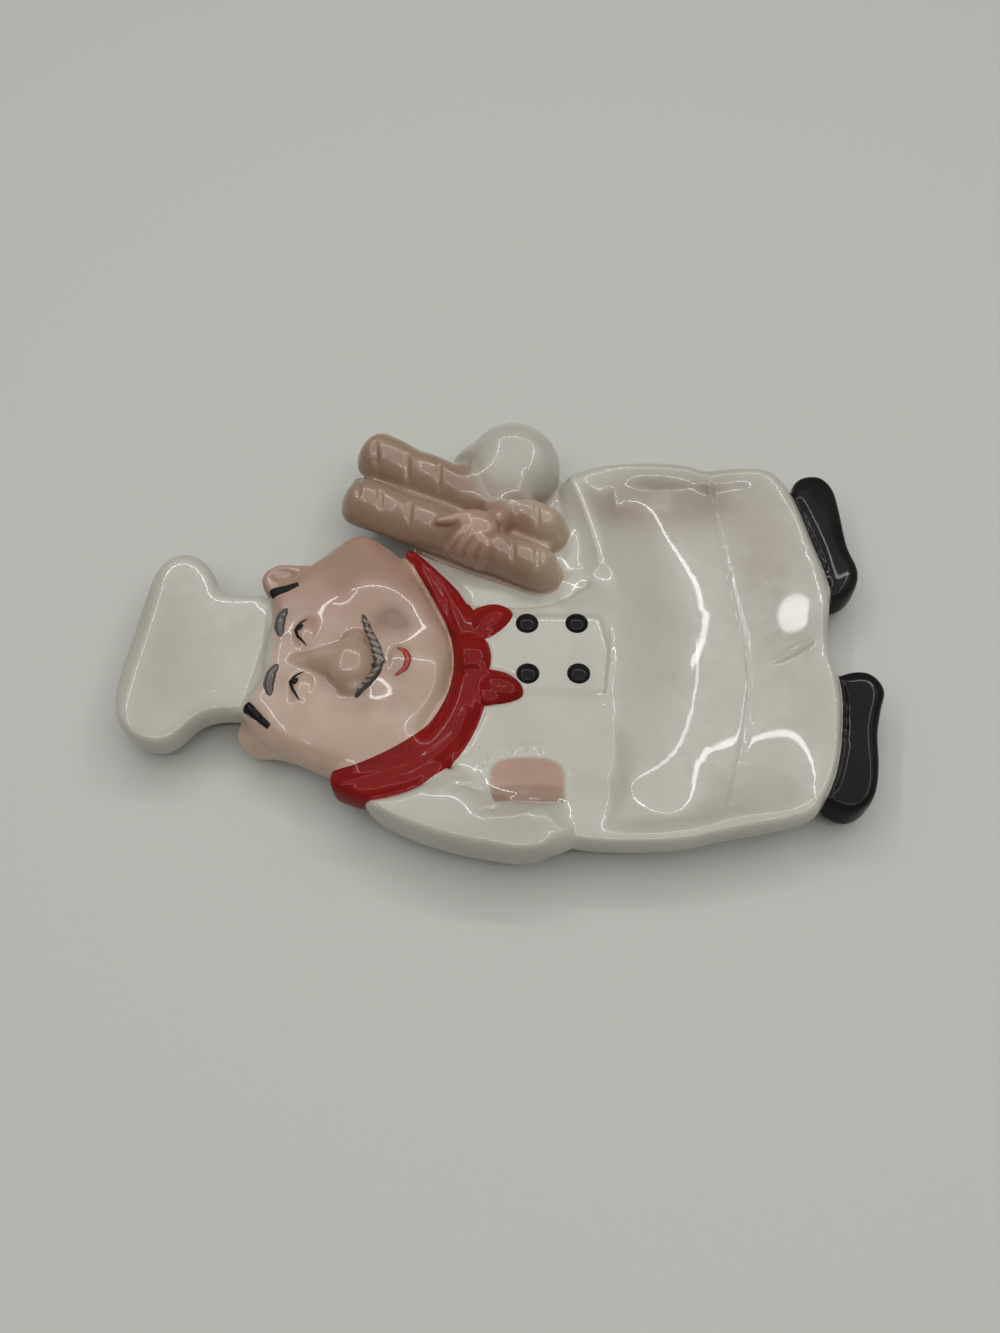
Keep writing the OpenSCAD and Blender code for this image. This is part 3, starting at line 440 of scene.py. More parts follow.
def rub_down(x, y, reach_x, reach_y, top, strokes):
    mesh = clay.data
    places = np.array([v.co for v in mesh.vertices]) * 1000 - np.array([chin.x, chin.y, 0])
    facing_up = np.array([v.normal.z for v in mesh.vertices]) > STEEP
    inside = 1 - np.abs((places[:, 0] - x) / reach_x) ** 4 - np.abs((places[:, 1] - y) / reach_y) ** 4
    amount = soft_step(inside, 0.0, FULL_FROM) * np.clip(top - places[:, 2], 0, 1) * facing_up
    group = clay.vertex_groups.new(name="rub")
    for level in range(1, LEVELS + 1):
        group.add(np.flatnonzero(np.ceil(amount * LEVELS) == level).tolist(), level / LEVELS, "REPLACE")
    lone(clay)
    bpy.ops.object.mode_set(mode="EDIT")
    bpy.ops.mesh.select_mode(type="VERT")
    bpy.ops.mesh.select_all(action="DESELECT")
    bpy.ops.object.mode_set(mode="OBJECT")
    mesh.vertices.foreach_set("select", amount > 0)
    bpy.ops.object.mode_set(mode="EDIT")
    bpy.ops.mesh.select_more()
    bpy.ops.mesh.separate(type="SELECTED")
    bpy.ops.object.mode_set(mode="OBJECT")
    form = [piece for piece in bpy.context.selected_objects if piece != clay][0]
    finish_with(form, "SMOOTH", factor=0.5, iterations=strokes, vertex_group="rub")
    join([clay, form])
    bpy.ops.object.mode_set(mode="EDIT")
    bpy.ops.mesh.select_all(action="SELECT")
    bpy.ops.mesh.remove_doubles(threshold=MERGE)
    bpy.ops.object.mode_set(mode="OBJECT")
    clay.vertex_groups.clear()
    return int((amount > 0).sum())


print("vertices rubbed down:", {name: rub_down(*form) for name, form in BROAD.items()})

# %% [markdown]
# ## Tool marks
#
# Now the surface is known, marks are drawn on it: folds of the sleeve, the seam at the waist, scores in the
# crust. A mark is a rope that is laid on the skin. Where the rope is sunk and cut away it leaves a groove, and
# where it is fused on it leaves a ridge.

# %% Lay marks on the skin
SKY = 60.0


def skin_height(tree, x, y):
    hit = tree.ray_cast(at(x, y, SKY), Vector((0, 0, -1)))[0]
    return 1000 * hit.z if hit else None


def spaced(points, steps):
    """Points along the drawn line, so that a mark follows the skin between them."""
    places = np.array(points, float)
    shares = np.linspace(0, len(points) - 1, (len(points) - 1) * steps + 1)
    return [tuple(np.interp(s, range(len(points)), places[:, k]) for k in range(2)) for s in shares]


def mark(tree, points, r, offset, steps=4):
    line = [(x, y, skin_height(tree, x, y)) for x, y in spaced(points, steps)]
    line = [place for place in line if place[2] is not None]
    n = len(line) - 1
    taper = [0.55 + 0.45 * math.sin(math.pi * i / n) for i in range(n + 1)]
    return rope([(x, y, z + offset + r * (1 - t), r * t) for (x, y, z), t in zip(line, taper)])


skin_tree = BVHTree.FromObject(clay, bpy.context.evaluated_depsgraph_get())
# Each groove: its line, the radius of the tool, and how far the tool's middle is above the skin
GROOVES = [
    # folds of the smile
    ([(-25.5, 15.6), (-20.5, 15.8), (-16.0, 13.2), (-12.6, 8.6)], 3.0, 2.75),
    ([(-12.4, -9.8), (-15.6, -13.8), (-21.0, -16.4), (-26.0, -16.0)], 2.8, 2.65),
    # between the fingers
    ([(4.8, 42.8), (2.4, 40.5), (0.2, 39.2), (-1.9, 38.9)], 0.7, 0.15),
    ([(7.0, 40.8), (5.2, 39.2), (3.2, 37.9), (1.4, 37.3)], 0.7, 0.15),
    ([(9.5, 39.3), (8.0, 37.5), (6.4, 36.4), (4.9, 35.7)], 0.7, 0.15),
    # round the cuff, and folds of the near sleeve
    ([(8.6, -29.6), (22.0, -28.8), (35.0, -29.2)], 0.7, 0.2),
    ([(7.8, -21.0), (8.2, -29.0), (8.4, -36.0), (11.2, -41.5)], 0.7, 0.2),
    ([(35.2, -29.4), (35.0, -36.0), (36.0, -42.5)], 0.7, 0.2),
    ([(-4.2, -41.5), (5.6, -42.3), (12.6, -45.3)], 1.0, 0.5),
    ([(-2.7, -44.5), (2.1, -43.0), (7.0, -42.6)], 0.8, 0.45),
    ([(5.0, -51.3), (11.9, -49.8), (16.0, -47.4)], 1.0, 0.5),
    ([(7.4, -53.8), (11.9, -49.4)], 0.8, 0.45),
    ([(13.9, -47.0), (23.7, -46.2), (33.4, -47.4)], 1.4, 0.55),
    ([(36.5, -12.8), (36.9, -20.6), (35.3, -27.8)], 1.0, 0.6),
    # waist, and between the trouser legs
    ([(48.3, 30.0), (49.4, 16.4), (48.6, 1.4), (46.4, -11.9), (43.4, -29.6), (40.3, -42.0)], 0.8, 0.35),
    ([(95.2, 2.1), (102.9, 4.7), (109.7, 7.4), (114.0, 9.6)], 1.7, 0.75),
    # scores in the crust of the inner and the outer loaf
    ([(-32.6, 68.0), (-32.0, 57.0)], 1.5, 0.5),
    ([(-25.0, 63.0), (-24.6, 52.5)], 1.5, 0.5),
    ([(-14.8, 57.5), (-15.4, 47.5)], 1.5, 0.5),
    ([(17.9, 43.5), (18.2, 32.6)], 1.5, 0.5),
    ([(26.2, 40.0), (26.0, 29.4)], 1.5, 0.5),
    ([(33.6, 37.5), (34.0, 31.0)], 1.3, 0.5),
    ([(-27.7, 83.0), (-27.2, 70.0)], 1.5, 0.5),
    ([(-16.9, 78.5), (-17.0, 65.0)], 1.5, 0.5),
    ([(-5.9, 74.0), (-6.1, 62.0)], 1.5, 0.5),
    ([(26.0, 57.0), (26.4, 46.0)], 1.5, 0.5),
    ([(33.8, 54.0), (35.0, 44.5)], 1.3, 0.5),
    # neckerchief, its knot and its tails
    ([(-16.1, 41.8), (-9.5, 34.3), (-5.2, 27.6), (-2.2, 20.2), (-0.2, 14.0)], 1.0, 0.35),
    ([(-5.2, 30.0), (-0.3, 23.5), (2.6, 17.0)], 0.9, 0.3),
    ([(2.2, 7.0), (6.2, 6.9), (10.2, 6.6)], 1.0, 0.3),
    ([(2.4, -4.8), (6.2, -4.6), (10.2, -4.8)], 1.0, 0.3),
    ([(4.0, 3.6), (7.0, 3.2), (10.0, 3.4)], 0.7, 0.25),
    ([(4.0, -1.0), (7.0, -0.6), (10.0, -0.8)], 0.7, 0.25),
    ([(7.6, 9.6), (11.2, 13.0), (15.2, 16.4)], 0.9, 0.3),
    ([(10.2, -8.4), (14.0, -9.8), (18.6, -11.0)], 0.9, 0.3),
    # folds of the hat
    ([(-74.6, -6.5), (-71.8, -12.0)], 1.2, 0.9),
    ([(-69.6, -5.5), (-67.2, -12.0)], 1.2, 0.9),
]
# Each pit: its place and half-widths. Two are in the ears and the others under the ruffle of the cuff.
PITS = [(-55.8, 34.0, 4.2, 2.6, 1.5), (-58.4, -19.4, 2.6, 1.7, 0.8)]
PITS += [(17.8 + 4.2 * k, -30.2, 1.0, 0.9, 0.7) for k in range(3)]
PITS += [(10.6, -32.6, 0.9, 1.0, 0.7), (10.0, -36.2, 1.2, 0.7, 0.6)]
tools = [mark(skin_tree, *groove) for groove in GROOVES]
tools += [lump(x, y, skin_height(skin_tree, x, y), rx, ry, rz) for x, y, rx, ry, rz in PITS]
finish_with(clay, "BOOLEAN", object=join(tools), operation="DIFFERENCE", solver="MANIFOLD")
bpy.data.objects.remove(tools[0])
print("grooves and pits:", len(GROOVES) + len(PITS), "clay:", len(clay.data.polygons), "faces")

# %% Ridges, fused on
HEM_LINE = [(84.6, 74.0), (86.0, 66.0), (88.8, 49.5), (91.0, 27.3), (93.0, 10.8), (92.4, -5.2), (89.0, -20.5),
            (84.6, -35.2), (81.0, -46.0)]
RIDGES = [
    (HEM_LINE, 1.6, -1.1),
    ([(-32.0, -42.0), (-22.5, -39.6), (-12.1, -36.6), (-4.5, -31.6), (1.1, -25.4), (4.2, -17.0)], 3.0, -2.5),
    ([(-15.0, 43.0), (-10.6, 41.6), (-6.0, 36.6), (-1.0, 31.4), (3.4, 26.0), (5.0, 20.0)], 1.9, -1.0),
    ([(-12.0, 34.0), (-6.4, 25.0), (-2.6, 16.6), (0.4, 9.6)], 1.4, -0.8),
]
clay = fuse([clay] + [mark(skin_tree, *ridge) for ridge in RIDGES], TOUCH_UP)
print("ridges:", len(RIDGES), "clay:", len(clay.data.polygons), "faces")

# %% [markdown]
# ## Back into pieces
#
# The casting is glazed in parts, and each part is a piece of its own here, as in the solids. So the fused skin is
# cut along the very seams of the solids with upright cutters, as with a pastry ring. The cut edges meet exactly,
# and no seam shows where two white parts meet.


# %% Outlines of the solids
def wall_ring(node):
    """The solid's outline seen from above: the largest closed line of level edges on it."""
    mesh = plain[node].data
    levels = {}
    for edge in mesh.edges:
        a, b = edge.vertices
        if abs(mesh.vertices[a].co.z - mesh.vertices[b].co.z) < MERGE:
            levels.setdefault(round(mesh.vertices[a].co.z, 5), []).append((a, b))
    best, best_area = None, 0.0
    for pairs in levels.values():
        links = {}
        for a, b in pairs:
            links.setdefault(a, []).append(b)
            links.setdefault(b, []).append(a)
        if any(len(ends) != 2 for ends in links.values()):
            continue
        ring = [pairs[0][0], pairs[0][1]]
        while True:
            onward = [v for v in links[ring[-1]] if v != ring[-2]][0]
            if onward == ring[0]:
                break
            ring.append(onward)
        p = np.array([mesh.vertices[v].co[:2] for v in ring]) * 1000
        q = np.roll(p, -1, axis=0)
        area = 0.5 * np.sum(p[:, 0] * q[:, 1] - q[:, 0] * p[:, 1])
        if abs(area) > best_area * 1.001:
            best, best_area = (p if area > 0 else p[::-1]), abs(area)
    return best


MAIN = ["ear_near", "ear_far", "hat", "head", "shoe_near", "shoe_far", "sleeve_near", "shoulder_far", "jacket_front",
        "dish"]
rings = {node: wall_ring(node) for node in MAIN}
band = np.array([v.co[:2] for v in plain["kerchief_band"].data.vertices]) * 1000
print("outlines:", {node: len(ring) for node, ring in rings.items()})

# %% Cutters that follow the seams and stand clear of the free edges
# How near a shared seam is, and how far a cutter stands clear or runs past its end, in millimetres
SEAM = 0.03
CLEAR = 2.2
EAR_CLEAR = 4.0
EAR_PAST = 0.8


def region(node):
    ring = rings[node]
    clear, past = (EAR_CLEAR, EAR_PAST) if node.startswith("ear") else (CLEAR, CLEAR)
    others = np.concatenate([band] + [r for name, r in rings.items() if name != node])
    shared = np.array([np.min(np.hypot(*(others - p).T)) < SEAM for p in ring])
    n = len(ring)
    outline = []
    for i in range(n):
        before, here, after = ring[i - 1], ring[i], ring[(i + 1) % n]
        if shared[i]:
            if not shared[i - 1]:
                along = here - after
                outline.append(here + past * along / np.hypot(*along))
            outline.append(here)
            if not shared[(i + 1) % n]:
                along = here - before
                outline.append(here + past * along / np.hypot(*along))
        else:
            along = after - before
            outline.append(here + clear * np.array([along[1], -along[0]]) / np.hypot(*along))
    return [tuple(p - np.array(chin)) for p in outline]


def cut_from(body, cutter, name):
    piece = new_copy(body.data, name)
    finish_with(piece, "BOOLEAN", object=cutter, operation="INTERSECT", solver="MANIFOLD")
    finish_with(body, "BOOLEAN", object=cutter, operation="DIFFERENCE", solver="MANIFOLD")
    bpy.data.objects.remove(cutter)
    return piece


def hull(points, grow):
    """The outline round these places, seen from above, and a margin."""
    p = sorted(set((round(x, 4), round(y, 4)) for x, y in points))
    half = []
    for run in (p, p[::-1]):
        side = []
        for q in run:
            while len(side) > 1 and ((side[-1][0] - side[-2][0]) * (q[1] - side[-2][1])
                                     - (side[-1][1] - side[-2][1]) * (q[0] - side[-2][0])) <= 0:
                side.pop()
            side.append(q)
        half += side[:-1]
    middle = np.mean(half, axis=0)
    return [tuple(q + grow * (q - middle) / np.hypot(*(q - middle))) for q in np.array(half)]


def solid_hull(node, grow):
    """The outline round a solid, with its corners cut off twice, as a plane turns a square bar round."""
    line = np.array(hull([(1000 * v.co.x - chin.x, 1000 * v.co.y - chin.y) for v in nodes[node].data.vertices], grow))
    for _ in range(2):
        onward = np.roll(line, -1, axis=0)
        line = np.stack([0.75 * line + 0.25 * onward, 0.25 * line + 0.75 * onward], axis=1).reshape(-1, 2)
    return [tuple(p) for p in line]


# %% Cut the upper forms first, then the forms that reach down to the table
pieces = {}
TOP, BOTTOM = 50.0, -5.0
LEDGE = 13.6
HAND_LINE = rounded([(-8.6, 46.9), (-7.6, 48.4), (-3.2, 49.0), (0.6, 50.0), (4.0, 51.4), (6.6, 52.6), (10.0, 49.4),
                     (13.6, 45.6), (14.0, 42.6), (12.8, 39.6), (9.6, 39.4), (5.4, 41.4), (2.6, 44.4), (0.0, 45.3),
                     (-3.2, 45.0), (-7.4, 45.4)])
ARM_LINE = rounded([(6.6, 52.6), (9.4, 55.8), (11.8, 58.0), (18.0, 56.4), (24.4, 56.2), (21.2, 49.0), (17.0, 42.9),
                    (13.6, 45.6), (10.0, 49.4)])
ELBOW_LINE = rounded([(-4.0, 76.5), (3.6, 73.6), (7.3, 68.4), (9.2, 62.4), (11.8, 58.0), (18.0, 56.4), (24.4, 56.2),
                      (30.9, 62.9), (37.0, 68.0), (41.0, 80.0), (34.0, 96.0), (18.0, 98.0), (2.0, 96.0), (-6.0, 87.0)])
WRIST_LINE = [(9.6, -33.0), (11.0, -31.2), (22.0, -30.9), (31.0, -31.1), (34.0, -32.6), (34.6, -38.0), (34.6, -43.0),
              (34.0, -47.2), (28.0, -46.6), (23.7, -46.2), (18.0, -46.6), (12.8, -47.2), (10.6, -42.5), (9.6, -38.0)]
CUFF_LINE = [(7.6, -33.4), (9.0, -29.4), (22.0, -28.4), (35.0, -29.0), (36.6, -34.0), (37.2, -42.0), (33.4, -45.6),
             (12.6, -45.8), (9.0, -41.0)]
FINGER_MARGIN = 0.25
HEM_REACH = 2.6
MELTED_AWAY = 40


def round_finger(path):
    turns = np.linspace(0, 2 * math.pi, 13)
    return hull([(x + (r + FINGER_MARGIN) * math.cos(a), y + (r + FINGER_MARGIN) * math.sin(a))
                 for x, y, z, r in path for a in turns], 0.05)


# Each upper form: its outline seen from above, and the height of the cut below it
UPPER = [(finger, round_finger(path), 15.2) for finger, path in FINGERS.items()]
UPPER += [("hand_far", HAND_LINE, 22.0), ("forearm_far", ARM_LINE, 18.0), ("elbow_far", ELBOW_LINE, BOTTOM)]
UPPER += [("loaf_inner", solid_hull("loaf_inner", 0.6), LEDGE), ("loaf_outer", solid_hull("loaf_outer", 0.6), LEDGE)]
UPPER += [(tail, hull(outline, 0.5), 17.6) for tail, outline in TAILS.items()]
UPPER += [("kerchief_knot", hull(KNOT_LINE, 0.5), 17.6), ("wrist_near", WRIST_LINE, 16.0),
          ("cuff_near", CUFF_LINE, 16.5), ("placket", solid_hull("placket", 0.4), 17.0)]
UPPER += [("nose", solid_hull("nose", 0.2), 19.0), ("eyelid_far", solid_hull("eyelid_far", 0.2), 18.5),
          ("eyelid_near", solid_hull("eyelid_near", 0.2), 18.5)]


def strip(points, half):
    line = np.array(spaced(points, 3))
    along = np.gradient(line, axis=0)
    aside = np.stack([-along[:, 1], along[:, 0]], axis=1) / np.hypot(*along.T)[:, None]
    return [tuple(p) for p in line + half * aside] + [tuple(p) for p in (line - half * aside)[::-1]]


UPPER.append(("jacket_hem", strip(HEM_LINE, HEM_REACH), 5.6))
skin_tree = BVHTree.FromObject(clay, bpy.context.evaluated_depsgraph_get())
clay_points = np.array([v.co for v in clay.data.vertices]) * 1000
melted = new_copy(clay.data, "melted")
finish_with(melted, "SMOOTH", factor=0.5, iterations=MELTED_AWAY)
melted_points = np.array([v.co for v in melted.data.vertices]) * 1000
clay_normals = np.array([v.normal for v in clay.data.vertices])
clay_hollow = np.sum((melted_points - clay_points) * clay_normals, axis=1)
bpy.data.objects.remove(melted)
for node, outline, low in UPPER:
    pieces[node] = cut_from(clay, slab(outline, low, TOP), node)
for node in MAIN:
    pieces[node] = cut_from(clay, slab(region(node), BOTTOM, TOP), node)
pieces["kerchief_band"] = clay
for node in pieces:
    pieces[node] = largest_part(pieces[node])
    pieces[node].name = node + "_glazed"
print({name: len(piece.data.polygons) for name, piece in pieces.items()})
print("hollow, deepest and highest in mm:", clay_hollow.max().round(2), clay_hollow.min().round(2))

# %% [markdown]
# ## Painted relief
#
# Brows, sideburns, moustache, mouth and buttons were pressed on as thin rolls and touched up with a brush. They are
# laid on the skin like the marks, half sunk, so that they follow the face. The moustache is a dark roll with a row
# of paler tufts on it, and the dark that shows between the tufts is painted shade.


# %% Brows, sideburns, mouth, moustache, eye lines and buttons
def laid(points, r, sink, ends=0.4, steps=5, wedge=False):
    line = [(x, y, skin_height(skin_tree, x, y)) for x, y in spaced(points, steps)]
    n = len(line) - 1
    swell = [1 - 0.7 * i / n if wedge else math.sin(math.pi * i / n) ** 0.6 for i in range(n + 1)]
    return rope([(x, y, z - sink * r, r * (ends + (1 - ends) * full)) for (x, y, z), full in zip(line, swell)])


# Each pad: its line, radius and how far it is sunk, as a share of the radius
PADS = {
    "eyebrow_far": ([(-52.2, 17.8), (-53.8, 14.4), (-54.0, 11.0), (-52.9, 6.6)], 2.0, 0.4),
    "eyebrow_near": ([(-53.0, -2.6), (-54.8, -5.9), (-55.3, -9.6), (-54.4, -13.8)], 2.0, 0.4),
    "sideburn_far": ([(-57.3, 24.2), (-55.6, 24.6), (-52.8, 25.5), (-49.6, 27.1)], 2.2, 0.35),
    "sideburn_near": ([(-61.2, -16.0), (-59.5, -17.5), (-56.8, -20.2), (-54.0, -22.7)], 2.1, 0.35),
    "mouth": ([(-17.6, 2.9), (-14.8, 1.5), (-13.6, -1.0), (-14.4, -4.5), (-18.0, -7.7)], 1.3, 0.5),
}
for pad, (line, r, sink) in PADS.items():
    pieces[pad] = laid(line, r, sink, 0.35, wedge=pad.startswith("side"))


def keep(piece, name, values):
    layer = piece.data.attributes.get(name) or piece.data.attributes.new(name, "FLOAT", "POINT")
    layer.data.foreach_set("value", np.asarray(values, np.float32))


MOUSTACHE = [(-28.2, 14.4), (-26.2, 8.6), (-23.9, 3.6), (-22.5, -1.2), (-23.2, -5.6), (-25.6, -10.0), (-28.6, -14.8)]
# The tufts lean away from a parting under the nose, and those at the ends are smaller
PARTING, FAR_LEAN, NEAR_LEAN = -1.4, (1.7, -1.0), (1.4, 1.3)
# The dark roll shows between the tufts as painted shade
strands = [laid(MOUSTACHE, 1.8, 0.3, 0.35, 6)]
keep(strands[0], "shade", np.ones(len(strands[0].data.vertices)))
hairs = spaced(MOUSTACHE, 2)[1:-1]
for k, (x, y) in enumerate(hairs):
    full = 0.6 + 0.4 * math.sin(math.pi * (k + 1) / (len(hairs) + 1))
    lean = FAR_LEAN if y > PARTING else NEAR_LEAN
    ends = [(x + side * lean[0] * full, y + side * lean[1] * full) for side in (-1, 1)]
    tuft = laid(ends, 1.1 * full, -0.5, 0.45)
    keep(tuft, "shade", np.zeros(len(tuft.data.vertices)))
    strands.append(tuft)
pieces["moustache"] = join(strands)
# The brows take most of the dark colour as their own paint
for brow in ("eyebrow_far", "eyebrow_near"):
    keep(pieces[brow], "shade", np.full(len(pieces[brow].data.vertices), 0.8))
EYE_LINES = {
    "eye_line_far": [(-45.2, 12.9), (-47.4, 11.4), (-48.7, 9.2), (-47.6, 6.3), (-44.8, 3.2)],
    "eye_line_near": [(-44.8, -5.8), (-47.4, -7.2), (-48.7, -9.1), (-47.6, -12.0), (-45.4, -15.6)],
}
PUPILS = {"eye_line_far": (-47.2, 9.6), "eye_line_near": (-47.0, -9.4)}
PUPIL_SIZE = (1.15, 1.2, 0.5)
BUTTON_SINK, BUTTON_DOME = 0.2, 1.7
for eye, line in EYE_LINES.items():
    x, y = PUPILS[eye]
    pupil = lump(x, y, skin_height(skin_tree, x, y), *PUPIL_SIZE)
    pieces[eye] = join([laid(line, 0.6, 0.3, 0.35), pupil])
for k in range(1, 5):
    low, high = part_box("button_%d" % k)
    x, y = (500 * (low[i] + high[i]) - chin[i] for i in range(2))
    r = 500 * (high[0] - low[0])
    pieces["button_%d" % k] = lump(x, y, skin_height(skin_tree, x, y) - BUTTON_SINK, r, r, BUTTON_DOME)
pieces["foot_ring"] = solid_copy("foot_ring")
for node, piece in pieces.items():
    piece.name = node + "_glazed"
print("painted relief:", len(PADS) + len(EYE_LINES) + 1 + 4)

# %% [markdown]
# ## Airbrush and painted shade
#
# Before the last firing colour was airbrushed over the clay: brown in the smile folds, round the mouth and the eyes.
# Many spots are painted shade as well: beside and under the nose, in the ears, where arm meets bread and hand, on
# the far wall of the bowl and over the hat. Each spot is soft, so each is a place, a size and a strength, and their
# sum is kept on the vertices for the glazes to use. How deep each hollow is and how steep the surface is are kept as
# well: hollows take gathered glaze and painted shade, and steep sides take painted light on the skin and painted
# shade on the hair.

# %% Airbrush, painted shade, hollows and brush runs on the vertices
# Place, size and strength of each spot
MIST_AND_SHADE = [
    # On the face: airbrushed colour with painted shade in it in the smile folds, round the mouth and eyes and in the
    # ears; beside and under the nose it is painted shade
    (-20.5, 14.5, 21.0, 5.5, 1.0), (-15.5, 11.4, 20.5, 4.5, 0.8), (-24.5, 10.0, 22.0, 4.0, 0.5),
    (-17.0, -14.5, 20.5, 4.5, 0.5), (-26.0, -16.5, 20.5, 4.5, 0.6), (-32.5, -12.5, 22.0, 4.5, 0.6),
    (-38.5, -7.5, 22.0, 4.0, 0.5), (-36.0, 6.0, 22.0, 4.0, 0.5), (-27.0, -3.0, 23.0, 4.0, 0.5),
    (-31.0, -3.6, 29.0, 6.0, 0.5),
    (-18.0, -2.0, 22.0, 6.5, 0.6), (-45.0, 1.0, 21.5, 4.0, 0.35), (-51.0, 8.0, 21.5, 4.0, 0.3),
    (-54.0, 34.0, 15.5, 4.0, 0.5), (-60.0, -21.0, 15.5, 3.0, 0.3), (-51.0, -8.0, 21.5, 3.5, 0.35),
    # Painted shade where the forearm meets the elbow, the bread and the hand, and between thumb and finger
    (19.0, 58.5, 25.0, 6.0, 0.9), (26.0, 59.5, 17.0, 4.0, 0.5), (12.0, 60.0, 25.0, 5.0, 0.8),
    (16.0, 52.0, 26.0, 6.0, 0.6), (7.5, 66.0, 25.0, 4.0, 0.5), (31.0, 64.0, 15.0, 5.0, 0.4),
    (-2.6, 43.2, 24.4, 2.6, 0.8), (15.0, -45.2, 18.5, 2.4, 1.0), (19.0, -44.6, 18.5, 2.4, 1.0),
    (23.0, -44.4, 18.5, 2.4, 1.0), (27.0, -44.5, 18.5, 2.4, 1.0), (31.0, -45.2, 18.5, 2.4, 0.9),
    # Painted shade on the far wall of the bowl, up the trousers, under the near elbow and in the hollow of the hat
    (60.0, 64.0, 12.0, 11.0, 0.8), (76.0, 64.0, 12.0, 11.0, 0.8), (48.0, 61.0, 14.0, 9.0, 0.6),
    (88.0, 66.0, 14.0, 8.0, 0.6), (101.0, 58.0, 12.0, 12.0, 0.5), (102.0, 38.0, 12.0, 13.0, 0.5),
    (104.0, 14.0, 13.0, 12.0, 0.35), (16.0, -52.0, 17.0, 14.0, 0.4), (-90.0, 14.0, 20.0, 18.0, 0.3),
    (-86.0, -10.0, 20.0, 16.0, 0.25),
]
mist_and_shade_places = np.array([spot[:3] for spot in MIST_AND_SHADE]) + np.array([chin.x, chin.y, 0])
mist_and_shade_size = np.array([spot[3] for spot in MIST_AND_SHADE])
mist_and_shade_amount = np.array([spot[4] for spot in MIST_AND_SHADE])
clay_tree = KDTree(len(clay_points))
for i, place in enumerate(clay_points):
    clay_tree.insert(place, i)
clay_tree.balance()
# The line along the neckerchief, the border of forehead and hat, and the border of sleeve and bread
KERCHIEF_LINE = [(-40.0, -45.0), (-22.5, -40.5), (-10.0, -36.0), (-2.0, -28.0), (3.5, -17.0), (5.0, 0.0), (3.5, 14.0),
                 (0.0, 24.0), (-6.0, 32.0), (-13.0, 41.0)]
BROW_BORDER = [(-70.0, -30.0), (-66.0, -21.0), (-60.5, -16.0), (-56.0, -1.7), (-56.4, 10.1), (-59.8, 25.0),
               (-66.0, 31.0), (-70.0, 40.0)]
SLEEVE_BORDER = [(-1.6, 79.4), (4.6, 75.0), (7.3, 68.4), (9.2, 62.4), (11.8, 58.0), (18.0, 56.4), (24.4, 56.2),
                 (30.9, 62.9)]
# Brush strokes on the tails and the knot run along lines of their own
BRUSH_LINES = {"tail_far": [(4.0, 8.0), (19.0, 19.0)], "tail_near": [(6.0, -8.0), (22.0, -12.5)],
               "kerchief_knot": [(6.6, 9.0), (6.6, -7.0)]}
# The bare wrist: middle and reach of the pink, and the middle, reach and bow of the line where it turns brown
PINK_MIDDLE, PINK_REACH = (22.2, -39.5), (10.8, 6.8)
BROWN_MIDDLE, BROWN_REACH, BROWN_BOW = (23, -42.0), 10, 0.9
# How much the colours run across the border of sleeve and bread, and how far; the brown on the white is painted shade
BLEED_AND_SHADE, BLEED_REACH = 0.5, 2.8
# From where to where the white of the hat fades in past its border, the far side of the face darkens along Y, as
# painted shade with a flush, and the loaves turn lighter along X, as painted light
WHITE_FADE, FAR_SHADE_AND_FLUSH, LIGHTER_TOWARDS_X = (-4.0, 2.5), (-12.0, 26.0), (14.0, 38.0)


def brush_path(node):
    path = np.array(spaced(BRUSH_LINES.get(node, KERCHIEF_LINE), 8)) + np.array([chin.x, chin.y])
    return path, np.concatenate([[0], np.cumsum(np.hypot(*np.diff(path, axis=0).T))])


def dress(node, piece):
    places = np.array([v.co for v in piece.data.vertices]) * 1000
    x, y = places[:, 0] - chin.x, places[:, 1] - chin.y
    gaps = np.linalg.norm(places[:, None, :] - mist_and_shade_places[None], axis=2) / mist_and_shade_size
    keep(piece, "mist_and_shade", np.clip(np.sum(mist_and_shade_amount * np.exp(-gaps ** 2), axis=1), 0, 1))
    keep(piece, "hollow", [clay_hollow[clay_tree.find(p)[1]] for p in places])
    border = np.interp(y, *np.array(BROW_BORDER)[:, ::-1].T)
    keep(piece, "fade", soft_step(border - x, *WHITE_FADE) if node in ("head", "nose") else np.zeros(len(x)))
    keep(piece, "far_side", soft_step(y, *FAR_SHADE_AND_FLUSH))
    keep(piece, "edge", 1 - np.array([v.normal.z for v in piece.data.vertices]))
    if node == "wrist_near":
        corner = np.abs((x - PINK_MIDDLE[0]) / PINK_REACH[0]) ** 3
        corner += (np.maximum(y - PINK_MIDDLE[1], 0) / PINK_REACH[1]) ** 3
        keep(piece, "blush", 1 - soft_step(corner, 0.6, 1.4))
        line = BROWN_MIDDLE[1] + BROWN_BOW * (1 - ((x - BROWN_MIDDLE[0]) / BROWN_REACH) ** 2)
        keep(piece, "mist_and_shade", soft_step(line - y, -0.6, 1.0))
    else:
        keep(piece, "blush", np.ones(len(x)))
    # How far along X the loaves are painted lighter, as painted light
    keep(piece, "lighter_towards_x", soft_step(x, *LIGHTER_TOWARDS_X))
    if node in ("elbow_far", "loaf_outer", "forearm_far"):
        border_line = np.array(spaced(SLEEVE_BORDER, 8))
        away = np.hypot(x[:, None] - border_line[:, 0], y[:, None] - border_line[:, 1]).min(axis=1)
        keep(piece, "bleed_and_shade", BLEED_AND_SHADE * np.exp(-(away / BLEED_REACH) ** 2))
    path, run = brush_path(node)
    steps = np.linalg.norm(places[:, None, :2] - path[None], axis=2)
    keep(piece, "run", run[steps.argmin(axis=1)] / 100)
    keep(piece, "aside", steps.min(axis=1) / 100)


